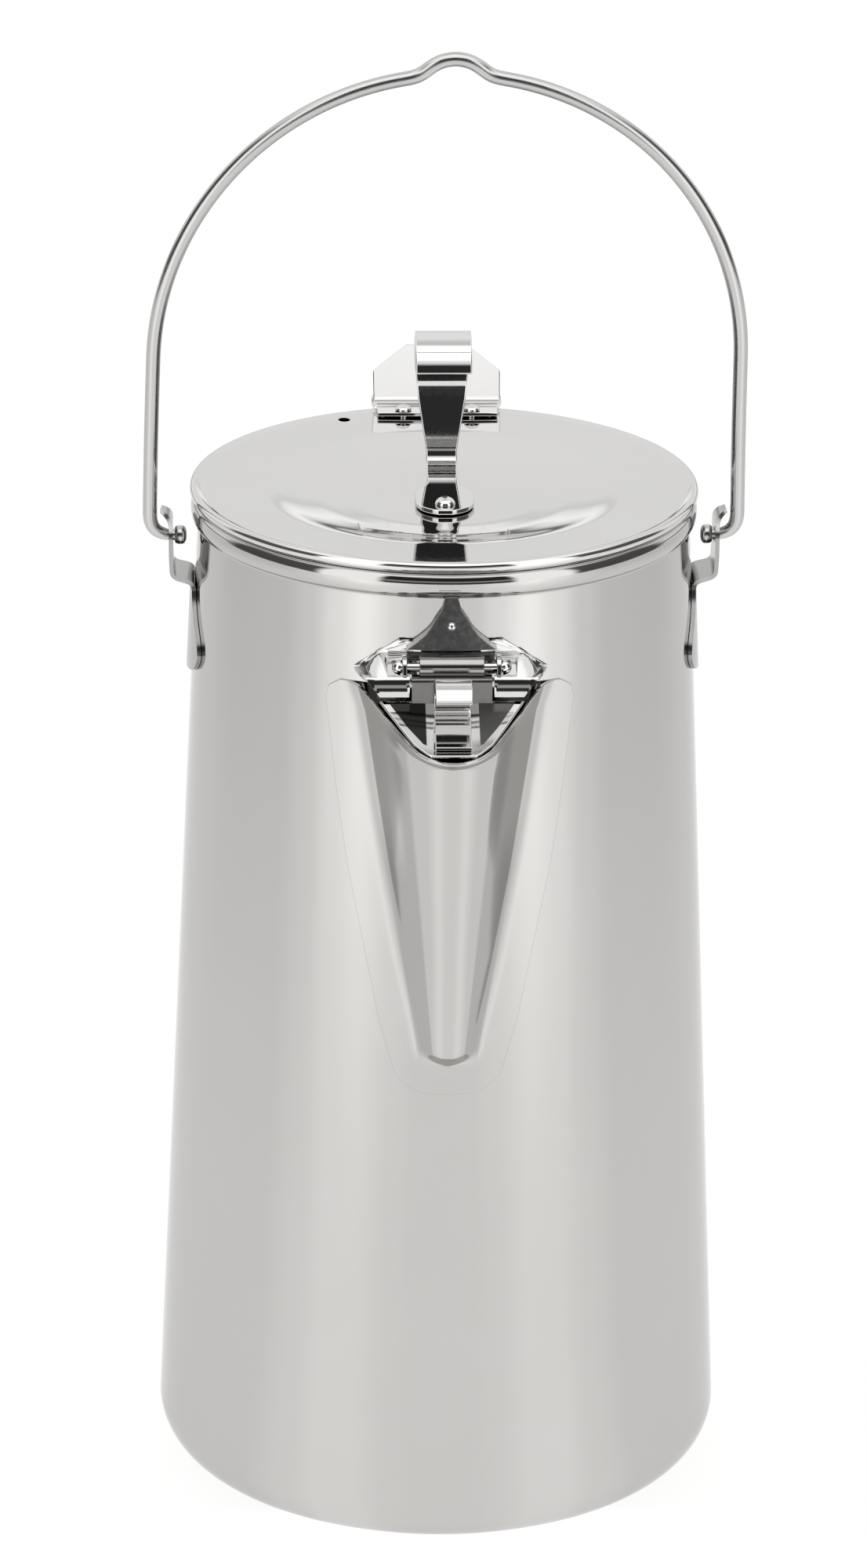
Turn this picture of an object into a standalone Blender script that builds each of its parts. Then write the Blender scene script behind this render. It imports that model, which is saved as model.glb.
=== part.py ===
"""Camping kettle, about 1.8 litres: conical pot, welded V spout with a hinged
spout lid, hinged pot lid with a strap knob, and a wire bail.

Metres, +Z up. Origin: centre of the flat base. The spout points along -Y,
the two ends of the bail lie along X.
"""
import math

import bmesh
import bpy
import numpy as np
from mathutils import Matrix, Vector

MM = 0.001
GAP = 0.3                 # clearance between touching pieces (all lengths below in mm)

# pot
R_BASE = 62.0             # outer radius where the wall would meet the floor
TAPER = 0.044             # radius lost per mm of height
WALL = 0.7
R_FILLET = 11.5
RIM_Z = 220.3
RIM_R = 54.0
# pot lid
LID_R = 54.2
LID_TOP = 223.0
LID_T = 0.8
DISH_R = 29.0
DISH_Z = 219.2
SKIRT_R = 50.8
SKIRT_Z = 215.2
HINGE_Y, HINGE_Z = 57.4, 222.8
# knob
KNOB_T = 1.1
KNOB_TOP = 251.7
KNOB_RIVET_Y = -8.0
RIVET_X, RIVET_Y = 7.5, 47.6
# bail
WIRE = 3.2
STUB = 2.4
PIVOT_Z = 211.2
BAIL_LEAN = 7.0           # degrees the bail leans to the front at rest
LEG_X = 62.7
ARCH_A, ARCH_B, ARCH_S = 62.0, 65.0, 40.3
EAR_X = 58.2
EAR_T = 0.9
# spout
SP_TOP = 195.8
SP_DIP = 0.33             # the mouth falls this much per mm from the wall
SP_DEPTH = 23.5
SP_HALF = 19.9
SP_BOT = 100.0
SP_T = 0.7
SP_PIN_Y, SP_PIN_Z = -57.5, 201.6
TAB_Y, TAB_Z, TAB_R = -70.0, 197.0, 6.2      # curl of the spout lid's tab
PIN_R = 0.95
PIN_HOLE = 1.27

STEEL = (0.80, 0.79, 0.77)


def clear_scene():
    for ob in list(bpy.data.objects):
        bpy.data.objects.remove(ob, do_unlink=True)


def steel(name, colour, rough):
    m = bpy.data.materials.new(name)
    m.use_nodes = True
    b = m.node_tree.nodes["Principled BSDF"]
    b.inputs["Base Color"].default_value = (*colour, 1.0)
    b.inputs["Metallic"].default_value = 1.0
    b.inputs["Roughness"].default_value = rough
    return m


def r_wall(z):
    """Outer radius of the pot wall at height z."""
    return R_BASE - TAPER * z


def lerp(a, b, t):
    return a + (b - a) * t


def smooth(t):
    t = min(max(t, 0.0), 1.0)
    return t * t * (3 - 2 * t)


def interp(x, knots):
    return float(np.interp(x, [k[0] for k in knots], [k[1] for k in knots]))


# ---------------------------------------------------------------- mesh tools
def to_object(name, verts, faces, mat, origin=(0, 0, 0), sharp=35.0):
    """One named object from vertices in mm; its origin is set to `origin` (mm)."""
    o = Vector(origin)
    me = bpy.data.meshes.new(name)
    me.from_pydata([(Vector(v) - o) * MM for v in verts], [], [tuple(f) for f in faces])
    bm = bmesh.new()
    bm.from_mesh(me)
    bmesh.ops.recalc_face_normals(bm, faces=bm.faces)
    bm.to_mesh(me)
    bm.free()
    me.shade_smooth()
    me.set_sharp_from_angle(angle=math.radians(sharp))
    me.materials.append(mat)
    ob = bpy.data.objects.new(name, me)
    ob.location = o * MM
    bpy.context.scene.collection.objects.link(ob)
    return ob


def loft(rings, closed_loop=False, caps=True):
    """Skin rings of equal count into a solid; end rings become caps."""
    n = len(rings[0])
    verts = [tuple(p) for r in rings for p in r]
    faces = []
    m = len(rings)
    for i in range(m if closed_loop else m - 1):
        a, b = i * n, ((i + 1) % m) * n
        for j in range(n):
            k = (j + 1) % n
            faces.append((a + j, a + k, b + k, b + j))
    if caps and not closed_loop:
        faces.append(tuple(range(n - 1, -1, -1)))
        faces.append(tuple((m - 1) * n + j for j in range(n)))
    return verts, faces


def lathe(profile, seg, centre=(0, 0)):
    """Turn a closed (r, z) outline about the vertical axis."""
    verts, faces, rows = [], [], []
    for r, z in profile:
        if r < 1e-6:
            rows.append([len(verts)])
            verts.append((centre[0], centre[1], z))
        else:
            rows.append(list(range(len(verts), len(verts) + seg)))
            for j in range(seg):
                a = 2 * math.pi * j / seg
                verts.append((centre[0] + r * math.sin(a), centre[1] - r * math.cos(a), z))
    for i in range(len(rows)):
        a, b = rows[i], rows[(i + 1) % len(rows)]
        if len(a) == 1 and len(b) == 1:
            continue
        for j in range(seg):
            k = (j + 1) % seg
            if len(a) == 1:
                faces.append((a[0], b[k], b[j]))
            elif len(b) == 1:
                faces.append((a[j], a[k], b[0]))
            else:
                faces.append((a[j], a[k], b[k], b[j]))
    return verts, faces


def tube(path, radii, sides, start_up=(0, 1, 0)):
    """Round bar along a path lying near one plane, with its own radius at each point."""
    pts = [Vector(p) for p in path]
    rings = []
    up = Vector(start_up)
    for i, p in enumerate(pts):
        t = (pts[min(i + 1, len(pts) - 1)] - pts[max(i - 1, 0)]).normalized()
        side = t.cross(up).normalized()
        u = side.cross(t).normalized()
        r = radii[i]
        rings.append([p + r * (math.cos(a) * side + math.sin(a) * u)
                      for a in (2 * math.pi * (j + 0.5) / sides for j in range(sides))])
    return loft(rings)


def sheet(grid, thick):
    """Closed solid of even thickness behind a grid of points P[i][j].

    The grid is the front face; the back lies `thick` against the normal
    (d/di x d/dj)."""
    P = np.array([[tuple(p) for p in row] for row in grid], float)
    di = np.gradient(P, axis=0)
    dj = np.gradient(P, axis=1)
    n = np.cross(di, dj)
    n /= np.linalg.norm(n, axis=2, keepdims=True)
    Q = P - n * thick
    a, b = P.shape[:2]
    verts = [tuple(v) for v in P.reshape(-1, 3)] + [tuple(v) for v in Q.reshape(-1, 3)]
    off = a * b
    faces = []
    for i in range(a - 1):
        for j in range(b - 1):
            q = (i * b + j, (i + 1) * b + j, (i + 1) * b + j + 1, i * b + j + 1)
            faces.append(q)
            faces.append(tuple(off + v for v in reversed(q)))
    edge = [(0, j) for j in range(b)] + [(i, b - 1) for i in range(1, a)] \
        + [(a - 1, j) for j in range(b - 2, -1, -1)] + [(i, 0) for i in range(a - 2, 0, -1)]
    for k in range(len(edge)):
        (i0, j0), (i1, j1) = edge[k], edge[(k + 1) % len(edge)]
        u, v = i0 * b + j0, i1 * b + j1
        faces.append((u, v, off + v, off + u))
    return verts, faces


def strap(path, widths, thick, crown=0.0, cols=2):
    """Sheet strap: a path in the YZ plane, its width along X at each point."""
    grid = []
    for (y, z), w in zip(path, widths):
        grid.append([(lerp(-w / 2, w / 2, j / (cols - 1)), y, z) for j in range(cols)])
    return sheet(grid, thick)


def prism(outline, lo, hi, axis="z"):
    """Straight solid from a flat outline; `axis` is the extrusion direction."""
    def put(p, h):
        return {"z": (p[0], p[1], h), "x": (h, p[0], p[1]), "y": (p[0], h, p[1])}[axis]
    return loft([[put(p, lo) for p in outline], [put(p, hi) for p in outline]])


def rod(p0, p1, r, sides):
    p0, p1 = Vector(p0), Vector(p1)
    t = (p1 - p0).normalized()
    up = Vector((0, 0, 1)) if abs(t.z) < 0.9 else Vector((0, 1, 0))
    side = t.cross(up).normalized()
    u = side.cross(t)
    ring = [r * (math.cos(a) * side + math.sin(a) * u)
            for a in (2 * math.pi * j / sides for j in range(sides))]
    return loft([[p0 + v for v in ring], [p1 + v for v in ring]])


def turned(profile, seg, place):
    """Small turned piece: (r, h) outline from axis to axis, placed by a matrix in mm."""
    v, f = lathe(profile, seg)
    return [tuple(place @ Vector(p)) for p in v], f


def merge(*pairs):
    verts, faces = [], []
    for v, f in pairs:
        o = len(verts)
        verts += list(v)
        faces += [tuple(o + i for i in q) for q in f]
    return verts, faces


def flatten_faces(me):
    """Split faces into triangles, so that every face of a bent sheet is truly flat."""
    bm = bmesh.new()
    bm.from_mesh(me)
    bmesh.ops.triangulate(bm, faces=bm.faces)
    bm.to_mesh(me)
    bm.free()


def boolean(ob, kind, pair, name):
    """Cut or join with a guide solid; the modifier is applied and the guide removed."""
    v, f = pair
    flatten_faces(ob.data)
    g = to_object(name, v, f, ob.data.materials[0])
    g.hide_render = True
    g.display_type = "WIRE"
    m = ob.modifiers.new(name, "BOOLEAN")
    m.operation = kind
    m.solver = "EXACT"
    m.object = g
    dg = bpy.context.evaluated_depsgraph_get()
    me = bpy.data.meshes.new_from_object(ob.evaluated_get(dg), depsgraph=dg)
    ob.modifiers.clear()
    old = ob.data
    ob.data = me
    me.name = ob.name
    bpy.data.meshes.remove(old)
    bpy.data.objects.remove(g, do_unlink=True)
    return ob


# ---------------------------------------------------------------- pot
def pot_profile(n_fillet=6, n_rim=6):
    """Outline of the pot wall, from the axis outside up over the rim and back inside."""
    out = [(0.0, 0.0)]
    lean = math.atan(TAPER)
    # fillet circle tangent to the floor and to the leaning wall
    cz = R_FILLET
    cx = r_wall(cz) - R_FILLET / math.cos(lean)
    a0, a1 = -math.pi / 2, lean
    for i in range(n_fillet + 1):
        a = lerp(a0, a1, i / n_fillet)
        out.append((cx + R_FILLET * math.cos(a), cz + R_FILLET * math.sin(a)))
    out.append((r_wall(217.3), 217.3))
    # rolled rim: a small bead standing outward
    bc, br = RIM_R - 1.35, 1.35
    for i in range(n_rim + 1):
        a = lerp(-0.9, math.pi / 2, i / n_rim)
        out.append((bc + br * math.cos(a), RIM_Z - br + br * math.sin(a)))
    out.append((r_wall(RIM_Z) - WALL, RIM_Z - 0.25))
    inner = [(r_wall(217.3) - WALL, 217.3)]
    ri = R_FILLET - WALL
    for i in range(n_fillet - 1, -1, -1):
        a = lerp(a0, a1, i / (n_fillet - 1))
        inner.append((cx + ri * math.cos(a), cz + ri * math.sin(a)))
    inner.append((0.0, WALL))
    return out + inner


def strainer_holes():
    """Centres (x, z) of the pouring holes behind the spout."""
    holes = []
    for row, (z, n) in enumerate(((188.0, 4), (179.0, 3), (170.0, 4), (161.0, 3), (152.0, 2), (143.0, 1))):
        for k in range(n):
            holes.append(((k - (n - 1) / 2) * 7.6, z))
    return holes


def body_shell(mat, seg=64):
    v, f = lathe(pot_profile(), seg)
    ob = to_object("body_shell", v, f, mat)
    cut = merge(*[rod((x, -60, z), (x, -46, z), 2.6, 10) for x, z in strainer_holes()])
    return boolean(ob, "DIFFERENCE", cut, "pour_holes")


# ---------------------------------------------------------------- spout
def spout_half(z):
    """Half width of the trough where it leaves the wall."""
    return interp(z, ((111.4, 3.0), (112.0, 4.6), (113.2, 5.6), (115.2, 6.3), (122.2, 7.3), (136.2, 10.2), (157.0, 13.6),
                      (177.7, 16.5), (191.0, 18.4), (SP_TOP, SP_HALF)))


def spout_nose(z):
    """Radius of the rounded front of the trough."""
    return interp(z, ((112.0, 5.0), (125.0, 5.7), (141.0, 6.3), (165.0, 8.2), (189.0, 10.0), (SP_TOP, 10.2)))


def spout_flange(z):
    """Half width of the weld flange."""
    return interp(z, ((106.0, 5.0), (107.2, 8.6), (110.0, 11.2), (122.0, 14.6), (156.0, 21.4),
                      (173.0, 23.8), (192.0, 25.9), (194.4, 25.3), (SP_TOP, 23.2)))


def spout_out(x, z):
    """How far the trough stands out of the wall at half width x and height z."""
    T = spout_half(z)
    D = SP_DEPTH * (z - SP_BOT) / (SP_TOP - SP_BOT)
    D *= smooth((z - 111.4) / 4.5)
    x = abs(x)
    if x >= T or D < 0.05:
        return 0.0
    rn = min(spout_nose(z), 0.8 * T)
    # tangent from the root (T, 0) to the nose circle (0, D - rn)
    L = math.hypot(T, D - rn)
    a = math.atan2(D - rn, -T) - math.asin(min(rn / L, 0.999))
    tx, td = T + math.sqrt(L * L - rn * rn) * math.cos(a), math.sqrt(L * L - rn * rn) * math.sin(a)
    if x <= tx:
        return D - rn + math.sqrt(max(rn * rn - x * x, 0.0))
    return td * (T - x) / (T - tx)


def spout_grid(zs, n_fl=1, n_side=3, n_nose=5, lip=1.3):
    """Outer face of the spout: rows from the bottom up, columns from +X to -X."""
    grid = []
    for z in zs:
        F, T = spout_flange(z), min(spout_half(z), spout_flange(z) - 0.8)
        D = SP_DEPTH * (z - SP_BOT) / (SP_TOP - SP_BOT)
        rn = spout_nose(z)
        xn = min(0.72 * T, rn * 0.86)
        half = [lerp(F, T + 0.5, i / n_fl) for i in range(n_fl + 1)]
        half += [lerp(T - 0.5 if T > 2 else T * 0.8, xn, i / n_side) for i in range(n_side)]
        half += [xn * math.sin(math.pi / 2 * (1 - i / n_nose)) for i in range(n_nose)]
        xs = half + [0.0] + [-x for x in reversed(half)]
        top = smooth((z - 150.0) / (SP_TOP - 150.0))
        flare = smooth((z - (SP_TOP - 3.0)) / 3.0)
        row = []
        for x in xs:
            d = spout_out(x, z) if z > 112.5 else 0.0
            if flare > 0 and d > 0:
                d += lip * flare * max(0.0, min(1.0, (d - 5.0) / 8.0))
            r = r_wall(z) + GAP + SP_T
            y = -math.sqrt(r * r - x * x)
            row.append((x, y - d, z - SP_DIP * d * top))
        grid.append(row)
    return grid


def spout(mat):
    zs = [106.0, 107.2, 110.0, 112.4, 113.4, 115.0, 117.0, 120.0, 130.0, 150.0, 172.0, 186.0, 192.0, 194.4, SP_TOP]
    v, f = sheet(spout_grid(zs), SP_T)
    return to_object("spout", v, f, mat, sharp=50)


def arc(cy, cz, r, a0, a1, n):
    """Points of an arc in the YZ plane, degrees from +Y towards +Z."""
    return [(cy + r * math.cos(math.radians(a)), cz + r * math.sin(math.radians(a)))
            for a in (lerp(a0, a1, i / n) for i in range(n + 1))]


# ---------------------------------------------------------------- bail
def ear_grid(side, cols=5):
    """Outer face of an ear: weld pad on the wall, jog, upright plate, short lip."""
    rows = [(182.6, 3.5, None), (183.2, 8.0, None), (185.0, 12.4, None), (188.0, 15.0, None),
            (191.0, 14.2, None), (194.5, 11.0, None), (198.0, 7.8, None), (200.6, 6.4, None),
            (203.3, 6.0, EAR_X + 0.15), (204.2, 6.0, EAR_X + 0.45), (208.0, 6.0, EAR_X + 0.45),
            (215.0, 5.9, EAR_X + 0.45), (216.0, 5.2, EAR_X + 1.2), (216.5, 4.4, EAR_X + 2.3)]
    grid = []
    for z, hw, x in rows:
        row = []
        for j in range(cols):
            y = lerp(hw, -hw, j / (cols - 1))
            r = r_wall(z) + GAP + EAR_T
            xx = math.sqrt(r * r - y * y) if x is None else x
            row.append((side * xx, y, z))
        grid.append(row if side > 0 else row[::-1])
    return grid


def bail_ear(name, side, mat):
    v, f = sheet(ear_grid(side), EAR_T)
    ob = to_object(name, v, f, mat)
    hole = rod((side * 50, 0, PIVOT_Z), (side * 66, 0, PIVOT_Z), 1.6, 12)
    return boolean(ob, "DIFFERENCE", hole, name + "_hole")


def bail_half(n_arch=15, n_bend=4, n_leg=2):
    """Centreline of the right half of the bail: (x, s, radius), s measured up from the
    pivot in the bail's own plane, from the top of the kink to the headed end."""
    out = []
    r, h = 8.9, 3.6
    for i in range(n_arch + 1):
        t = i / n_arch
        phi = math.pi / 2 * t ** 1.25
        x = ARCH_A * math.sin(phi)
        s = ARCH_S + ARCH_B * math.cos(phi)
        if abs(x) < math.sqrt(r * r - (r - h) ** 2):
            s += math.sqrt(r * r - x * x) - (r - h)
        out.append((x, s, WIRE / 2))
    b = 3.4
    for i in range(1, n_leg):
        out.append((lerp(ARCH_A, LEG_X, i / n_leg), lerp(ARCH_S, b, i / n_leg), WIRE / 2))
    for i in range(n_bend + 1):
        a = -math.pi / 2 * i / n_bend
        out.append((LEG_X - b + b * math.cos(a), b + b * math.sin(a),
                    lerp(WIRE, STUB + 0.3, i / n_bend) / 2))
    out.append((LEG_X - b - 0.5, 0.0, STUB / 2))
    out.append((57.42, 0.0, STUB / 2))
    out.append((57.36, 0.0, 1.95))
    out.append((54.7, 0.0, 2.05))
    out.append((54.3, 0.0, 1.6))
    return out


def bail_path(**kw):
    half = bail_half(**kw)
    pts = [(-x, s, r) for x, s, r in reversed(half)] + half[1:]
    a = math.radians(BAIL_LEAN)
    return [(x, -s * math.sin(a), PIVOT_Z + s * math.cos(a)) for x, s, r in pts], [p[2] for p in pts]


def bail_handle(mat):
    path, radii = bail_path()
    v, f = tube(path, radii, 8)
    return to_object("bail_handle", v, f, mat, origin=(0, 0, PIVOT_Z), sharp=50)


# ---------------------------------------------------------------- pot lid
def lid_top(r):
    """Height of the lid's upper face at radius r."""
    return interp(r, ((0, DISH_Z), (15, DISH_Z), (19, DISH_Z + 0.1), (26, DISH_Z + 0.7), (33, DISH_Z + 1.85), (36.5, DISH_Z + 2.55),
                      (38.5, DISH_Z + 2.85), (51.8, LID_TOP - 0.45), (53.05, LID_TOP)))


def lid_profile(n_edge=4):
    out = [(r, lid_top(r)) for r in (0.0, 15.0, 19.0, 26.0, 33.0, 38.5, 51.8)]
    cr = 1.15
    for i in range(n_edge + 1):
        a = lerp(math.pi / 2, -0.5, i / n_edge)
        out.append((LID_R - cr + cr * math.cos(a), LID_TOP - cr + cr * math.sin(a)))
    zb = RIM_Z + GAP
    out += [(LID_R - 0.3, zb), (SKIRT_R, zb), (SKIRT_R, SKIRT_Z), (SKIRT_R - LID_T, SKIRT_Z),
            (SKIRT_R - LID_T, lid_top(50) - 0.9)]
    out += [(r, lid_top(r) - LID_T) for r in (38.5, 33.2, 26.2, 15.0, 0.0)]
    return out


def lid(mat, seg=64):
    v, f = lathe(lid_profile(), seg)
    ob = to_object("lid", v, f, mat, origin=(0, HINGE_Y, HINGE_Z))
    cuts = merge(rod((-20.5, 45.0, 212), (-20.5, 45.0, 230), 1.3, 10),
                 rod((0, KNOB_RIVET_Y, 212), (0, KNOB_RIVET_Y, 230), 1.55, 12),
                 rod((RIVET_X, RIVET_Y, 212), (RIVET_X, RIVET_Y, 230), 1.3, 10),
                 rod((-RIVET_X, RIVET_Y, 212), (-RIVET_X, RIVET_Y, 230), 1.3, 10))
    return boolean(ob, "DIFFERENCE", cuts, "lid_holes")


def knob_path(n=8):
    """Outer side of the strap: under the foot, up the back of the leaning riser, over the curl."""
    z0 = DISH_Z + GAP
    pts = [(-12.2, z0), (-11.4, z0), (-9.6, z0), (-6.5, z0), (1.5, z0), (4.7, z0), (6.5, z0)]
    pts += arc(14.1, z0 + 5.4, 5.4, -90, -7.5, max(3, n // 2))
    pts += [(20.2, 230.0), (20.9, 235.2), (21.25, 238.7), (21.3, 242.0)]
    pts += arc(15.2, KNOB_TOP - 5.5, 5.5, 0, 90, n // 2)
    pts += arc(15.2, KNOB_TOP - 9.0, 9.0, 90, 158, n // 2)[1:]
    pts += [(6.4, 244.95)]
    foot = ((-12.2, 2.8), (-11.4, 6.4), (-9.6, 10.2), (-6.5, 12.5), (1.5, 12.5), (4.7, 7.6), (6.5, 6.6), (14.1, 6.6))
    riser = ((z0 + 0.5, 6.6), (225.0, 6.7), (231.0, 9.0), (235.2, 10.3), (238.7, 10.9), (244.0, 12.0), (KNOB_TOP, 12.0))
    return pts, [interp(y, foot) if z < z0 + 0.5 else interp(z, riser) for y, z in pts]


def lid_knob(mat):
    pts, ws = knob_path()
    v, f = strap(pts, ws, KNOB_T)
    ob = to_object("lid_knob", v, f, mat, origin=(0, HINGE_Y, HINGE_Z))
    hole = rod((0, KNOB_RIVET_Y, 215), (0, KNOB_RIVET_Y, 226), 1.55, 12)
    return boolean(ob, "DIFFERENCE", hole, "knob_hole")


def rivet_profile(r_head, h_head, r_shank, z_top, z_bot, r_tail, h_tail, n=4):
    """Dome-headed rivet; z_top under the head, z_bot over the tail."""
    out = [(0.0, z_top + h_head)]
    for i in range(1, n + 1):
        a = math.pi / 2 * (1 - i / n)
        out.append((r_head * math.cos(a), z_top + h_head * math.sin(a)))
    out += [(r_shank, z_top), (r_shank, z_bot), (r_tail, z_bot), (r_tail * 0.8, z_bot - h_tail), (0.0, z_bot - h_tail)]
    return out[::-1]


def fastenings(mat):
    org = (0, HINGE_Y, HINGE_Z)
    top = DISH_Z + GAP + KNOB_T + GAP
    under = DISH_Z - LID_T
    v, f = lathe(rivet_profile(2.15, 1.6, 1.15, top, under - 1.2, 2.5, 0.9), 16, (0, KNOB_RIVET_Y))
    to_object("lid_knob_rivet", v, f, mat, origin=org)
    w0, w1 = under - 0.9, under - 0.3
    v, f = lathe([(1.5, w0), (4.2, w0), (4.2, w1), (1.5, w1)], 20, (0, KNOB_RIVET_Y))
    to_object("lid_knob_washer", v, f, mat, origin=org)
    for name, sx in (("lid_hinge_rivet_left", -1), ("lid_hinge_rivet_right", 1)):
        zt = leaf_under(RIVET_Y + 1.8) + 0.9 + 0.35
        v, f = lathe(rivet_profile(1.8, 1.1, 1.0, zt, lid_top(48.2) - LID_T - 0.45, 1.5, 0.7, 3), 12, (sx * RIVET_X, RIVET_Y))
        to_object(name, v, f, mat, origin=org)


# ---------------------------------------------------------------- lid hinge
def leaf_under(y):
    """Underside of the hinge flange, just over the sloping lid."""
    return interp(y, ((46.2, 222.8), (50.0, 222.95), (51.4, 223.33), (54.4, 223.4)))


def leaf_path(n=3):
    """Underside of the flange, round the bend and up the back of the leaning thumb plate."""
    pts = [(46.2, leaf_under(46.2)), (50.0, leaf_under(50.0)), (51.4, 223.33)]
    wd = [26.4, 26.4, 26.8]
    bend = arc(53.0, 225.0, 1.6, -90, -32, n)
    pts += bend
    wd += [27.8] * len(bend)
    for z, w in ((229.6, 28.0), (233.6, 16.4), (234.6, 13.2)):
        pts.append((54.36 + (z - 224.15) * 0.625, z))
        wd.append(w)
    return pts, wd


def leaf_web():
    """Outline (y, z) of the web between the leaf's bend and its barrel."""
    return [(53.2, 223.7), (55.4, 223.2), (55.9, 224.0), (57.2, 224.75), (54.6, 225.4)]


def barrel(cy, cz, r_out, r_in, hw, sides):
    place = Matrix.Translation((0, cy, cz)) @ Matrix.Rotation(math.pi / 2, 4, "Y")
    return turned([(r_in, -hw), (r_out, -hw), (r_out, hw), (r_in, hw)], sides, place)


def headed_pin(cy, cz, hw, h_head, r_head, sides=12):
    place = Matrix.Translation((0, cy, cz)) @ Matrix.Rotation(math.pi / 2, 4, "Y")
    prof = [(0.0, -hw), (r_head * 0.7, -hw + 0.12), (r_head, -hw + h_head * 0.6), (r_head, -hw + h_head), (PIN_R, -hw + h_head),
            (PIN_R, hw - h_head), (r_head, hw - h_head), (r_head, hw - h_head * 0.6), (r_head * 0.7, hw - 0.12), (0.0, hw)]
    return turned(prof, sides, place)


def lid_hinge(mat):
    org = (0, HINGE_Y, HINGE_Z)
    pts, wd = leaf_path()
    v, f = strap(pts, wd, 0.9)
    leaf = to_object("lid_hinge_leaf", v, f, mat, origin=org)
    boolean(leaf, "UNION", prism(leaf_web(), -11.2, 11.2, "x"), "leaf_web")
    boolean(leaf, "UNION", barrel(HINGE_Y, HINGE_Z, 2.2, PIN_HOLE, 11.4, 16), "leaf_barrel")
    holes = merge(*[rod((sx * RIVET_X, RIVET_Y, 215), (sx * RIVET_X, RIVET_Y, 230), 1.3, 10) for sx in (-1, 1)])
    boolean(leaf, "DIFFERENCE", holes, "leaf_holes")
    v, f = headed_pin(HINGE_Y, HINGE_Z, 14.4, 0.85, 1.7)
    to_object("lid_hinge_pin", v, f, mat, origin=org)
    # bracket welded on the pot below the rim
    grid = []
    for z, hw in ((193.0, 9.0), (194.6, 12.0), (197.0, 13.2), (205.0, 13.2), (213.2, 13.2)):
        r = r_wall(z) + GAP + 0.9
        grid.append([(x, math.sqrt(r * r - x * x), z) for x in (lerp(-hw, hw, j / 8) for j in range(9))])
    v, f = sheet(grid, 0.9)
    br = to_object("lid_hinge_bracket", v, f, mat)
    ear = [(51.9, 198.0), (53.4, 198.0), (60.0, 217.0)] + arc(HINGE_Y, HINGE_Z, 2.6, -5, 185, 7) \
        + [(54.4, 218.0), (53.5, 215.6), (51.9, 213.0)]
    for sx in (-1, 1):
        boolean(br, "UNION", prism(ear, sx * 12.0, sx * 13.1, "x"), "ear")
    boolean(br, "DIFFERENCE", rod((-20, HINGE_Y, HINGE_Z), (20, HINGE_Y, HINGE_Z), PIN_HOLE, 12), "pin_bore")


# ---------------------------------------------------------------- spout lid
def shelf_grid(cols=13):
    """Upper face of the spout bracket: weld tab on the wall, sloping shelf, apron."""
    def back(x, hw):
        r = r_wall(204.0) + GAP + 0.85
        return -math.sqrt(r * r - x * x)
    def z_back(x):
        return 203.4 - 4.1 * smooth((abs(x) - 14.0) / 6.2)
    rows = []
    for k, hw in enumerate((11.0, 20.2, 20.0, 17.9, 17.5, 14.9)):
        row = []
        for j in range(cols):
            u = lerp(-1, 1, j / (cols - 1))
            x = hw * u
            yb, zb = back(x, hw), z_back(20.2 * u)
            if k == 0:
                p = (x, yb, 205.9)
            elif k == 1:
                p = (x, yb - 0.05, zb + 0.3)
            elif k == 2:
                p = (x, yb - 0.7, zb - 0.15)
            elif k == 3:
                p = (x, -60.4, 200.35)
            elif k == 4:
                p = (x, -60.9, 199.75)
            else:
                p = (x, -60.9, 196.2)
            row.append(p)
        rows.append(row)
    return rows


def spout_hinge(mat):
    v, f = sheet(shelf_grid(), 0.8)
    br = to_object("spout_hinge_bracket", v, f, mat)
    mid = prism([(-8.75, -70), (8.75, -70), (8.75, -54.95), (-8.75, -54.95)], 190, 210)
    boolean(br, "DIFFERENCE", mid, "tongue_gap")
    slot = prism([(-13.3, -59.55), (13.3, -59.55), (13.3, -55.45), (-13.3, -55.45)], 190, 210)
    boolean(br, "DIFFERENCE", slot, "pin_gap")
    lug = [(-54.8, 203.5), (-54.8, 201.2), (-57.5, 199.0), (-60.5, 199.0), (-60.5, 200.0), (-60.2, 201.3)] \
        + arc(SP_PIN_Y, SP_PIN_Z, 2.3, 150, 40, 5)
    for sx in (-1, 1):
        boolean(br, "UNION", prism(lug, sx * 9.25, sx * 10.25, "x"), "lug")
    boolean(br, "UNION", upstand(), "upstand")
    boolean(br, "DIFFERENCE", rod((-20, SP_PIN_Y, SP_PIN_Z), (20, SP_PIN_Y, SP_PIN_Z), PIN_HOLE, 12), "pin_bore")
    v, f = headed_pin(SP_PIN_Y, SP_PIN_Z, 12.4, 1.8, 1.6)
    to_object("spout_hinge_pin", v, f, mat)


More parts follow.
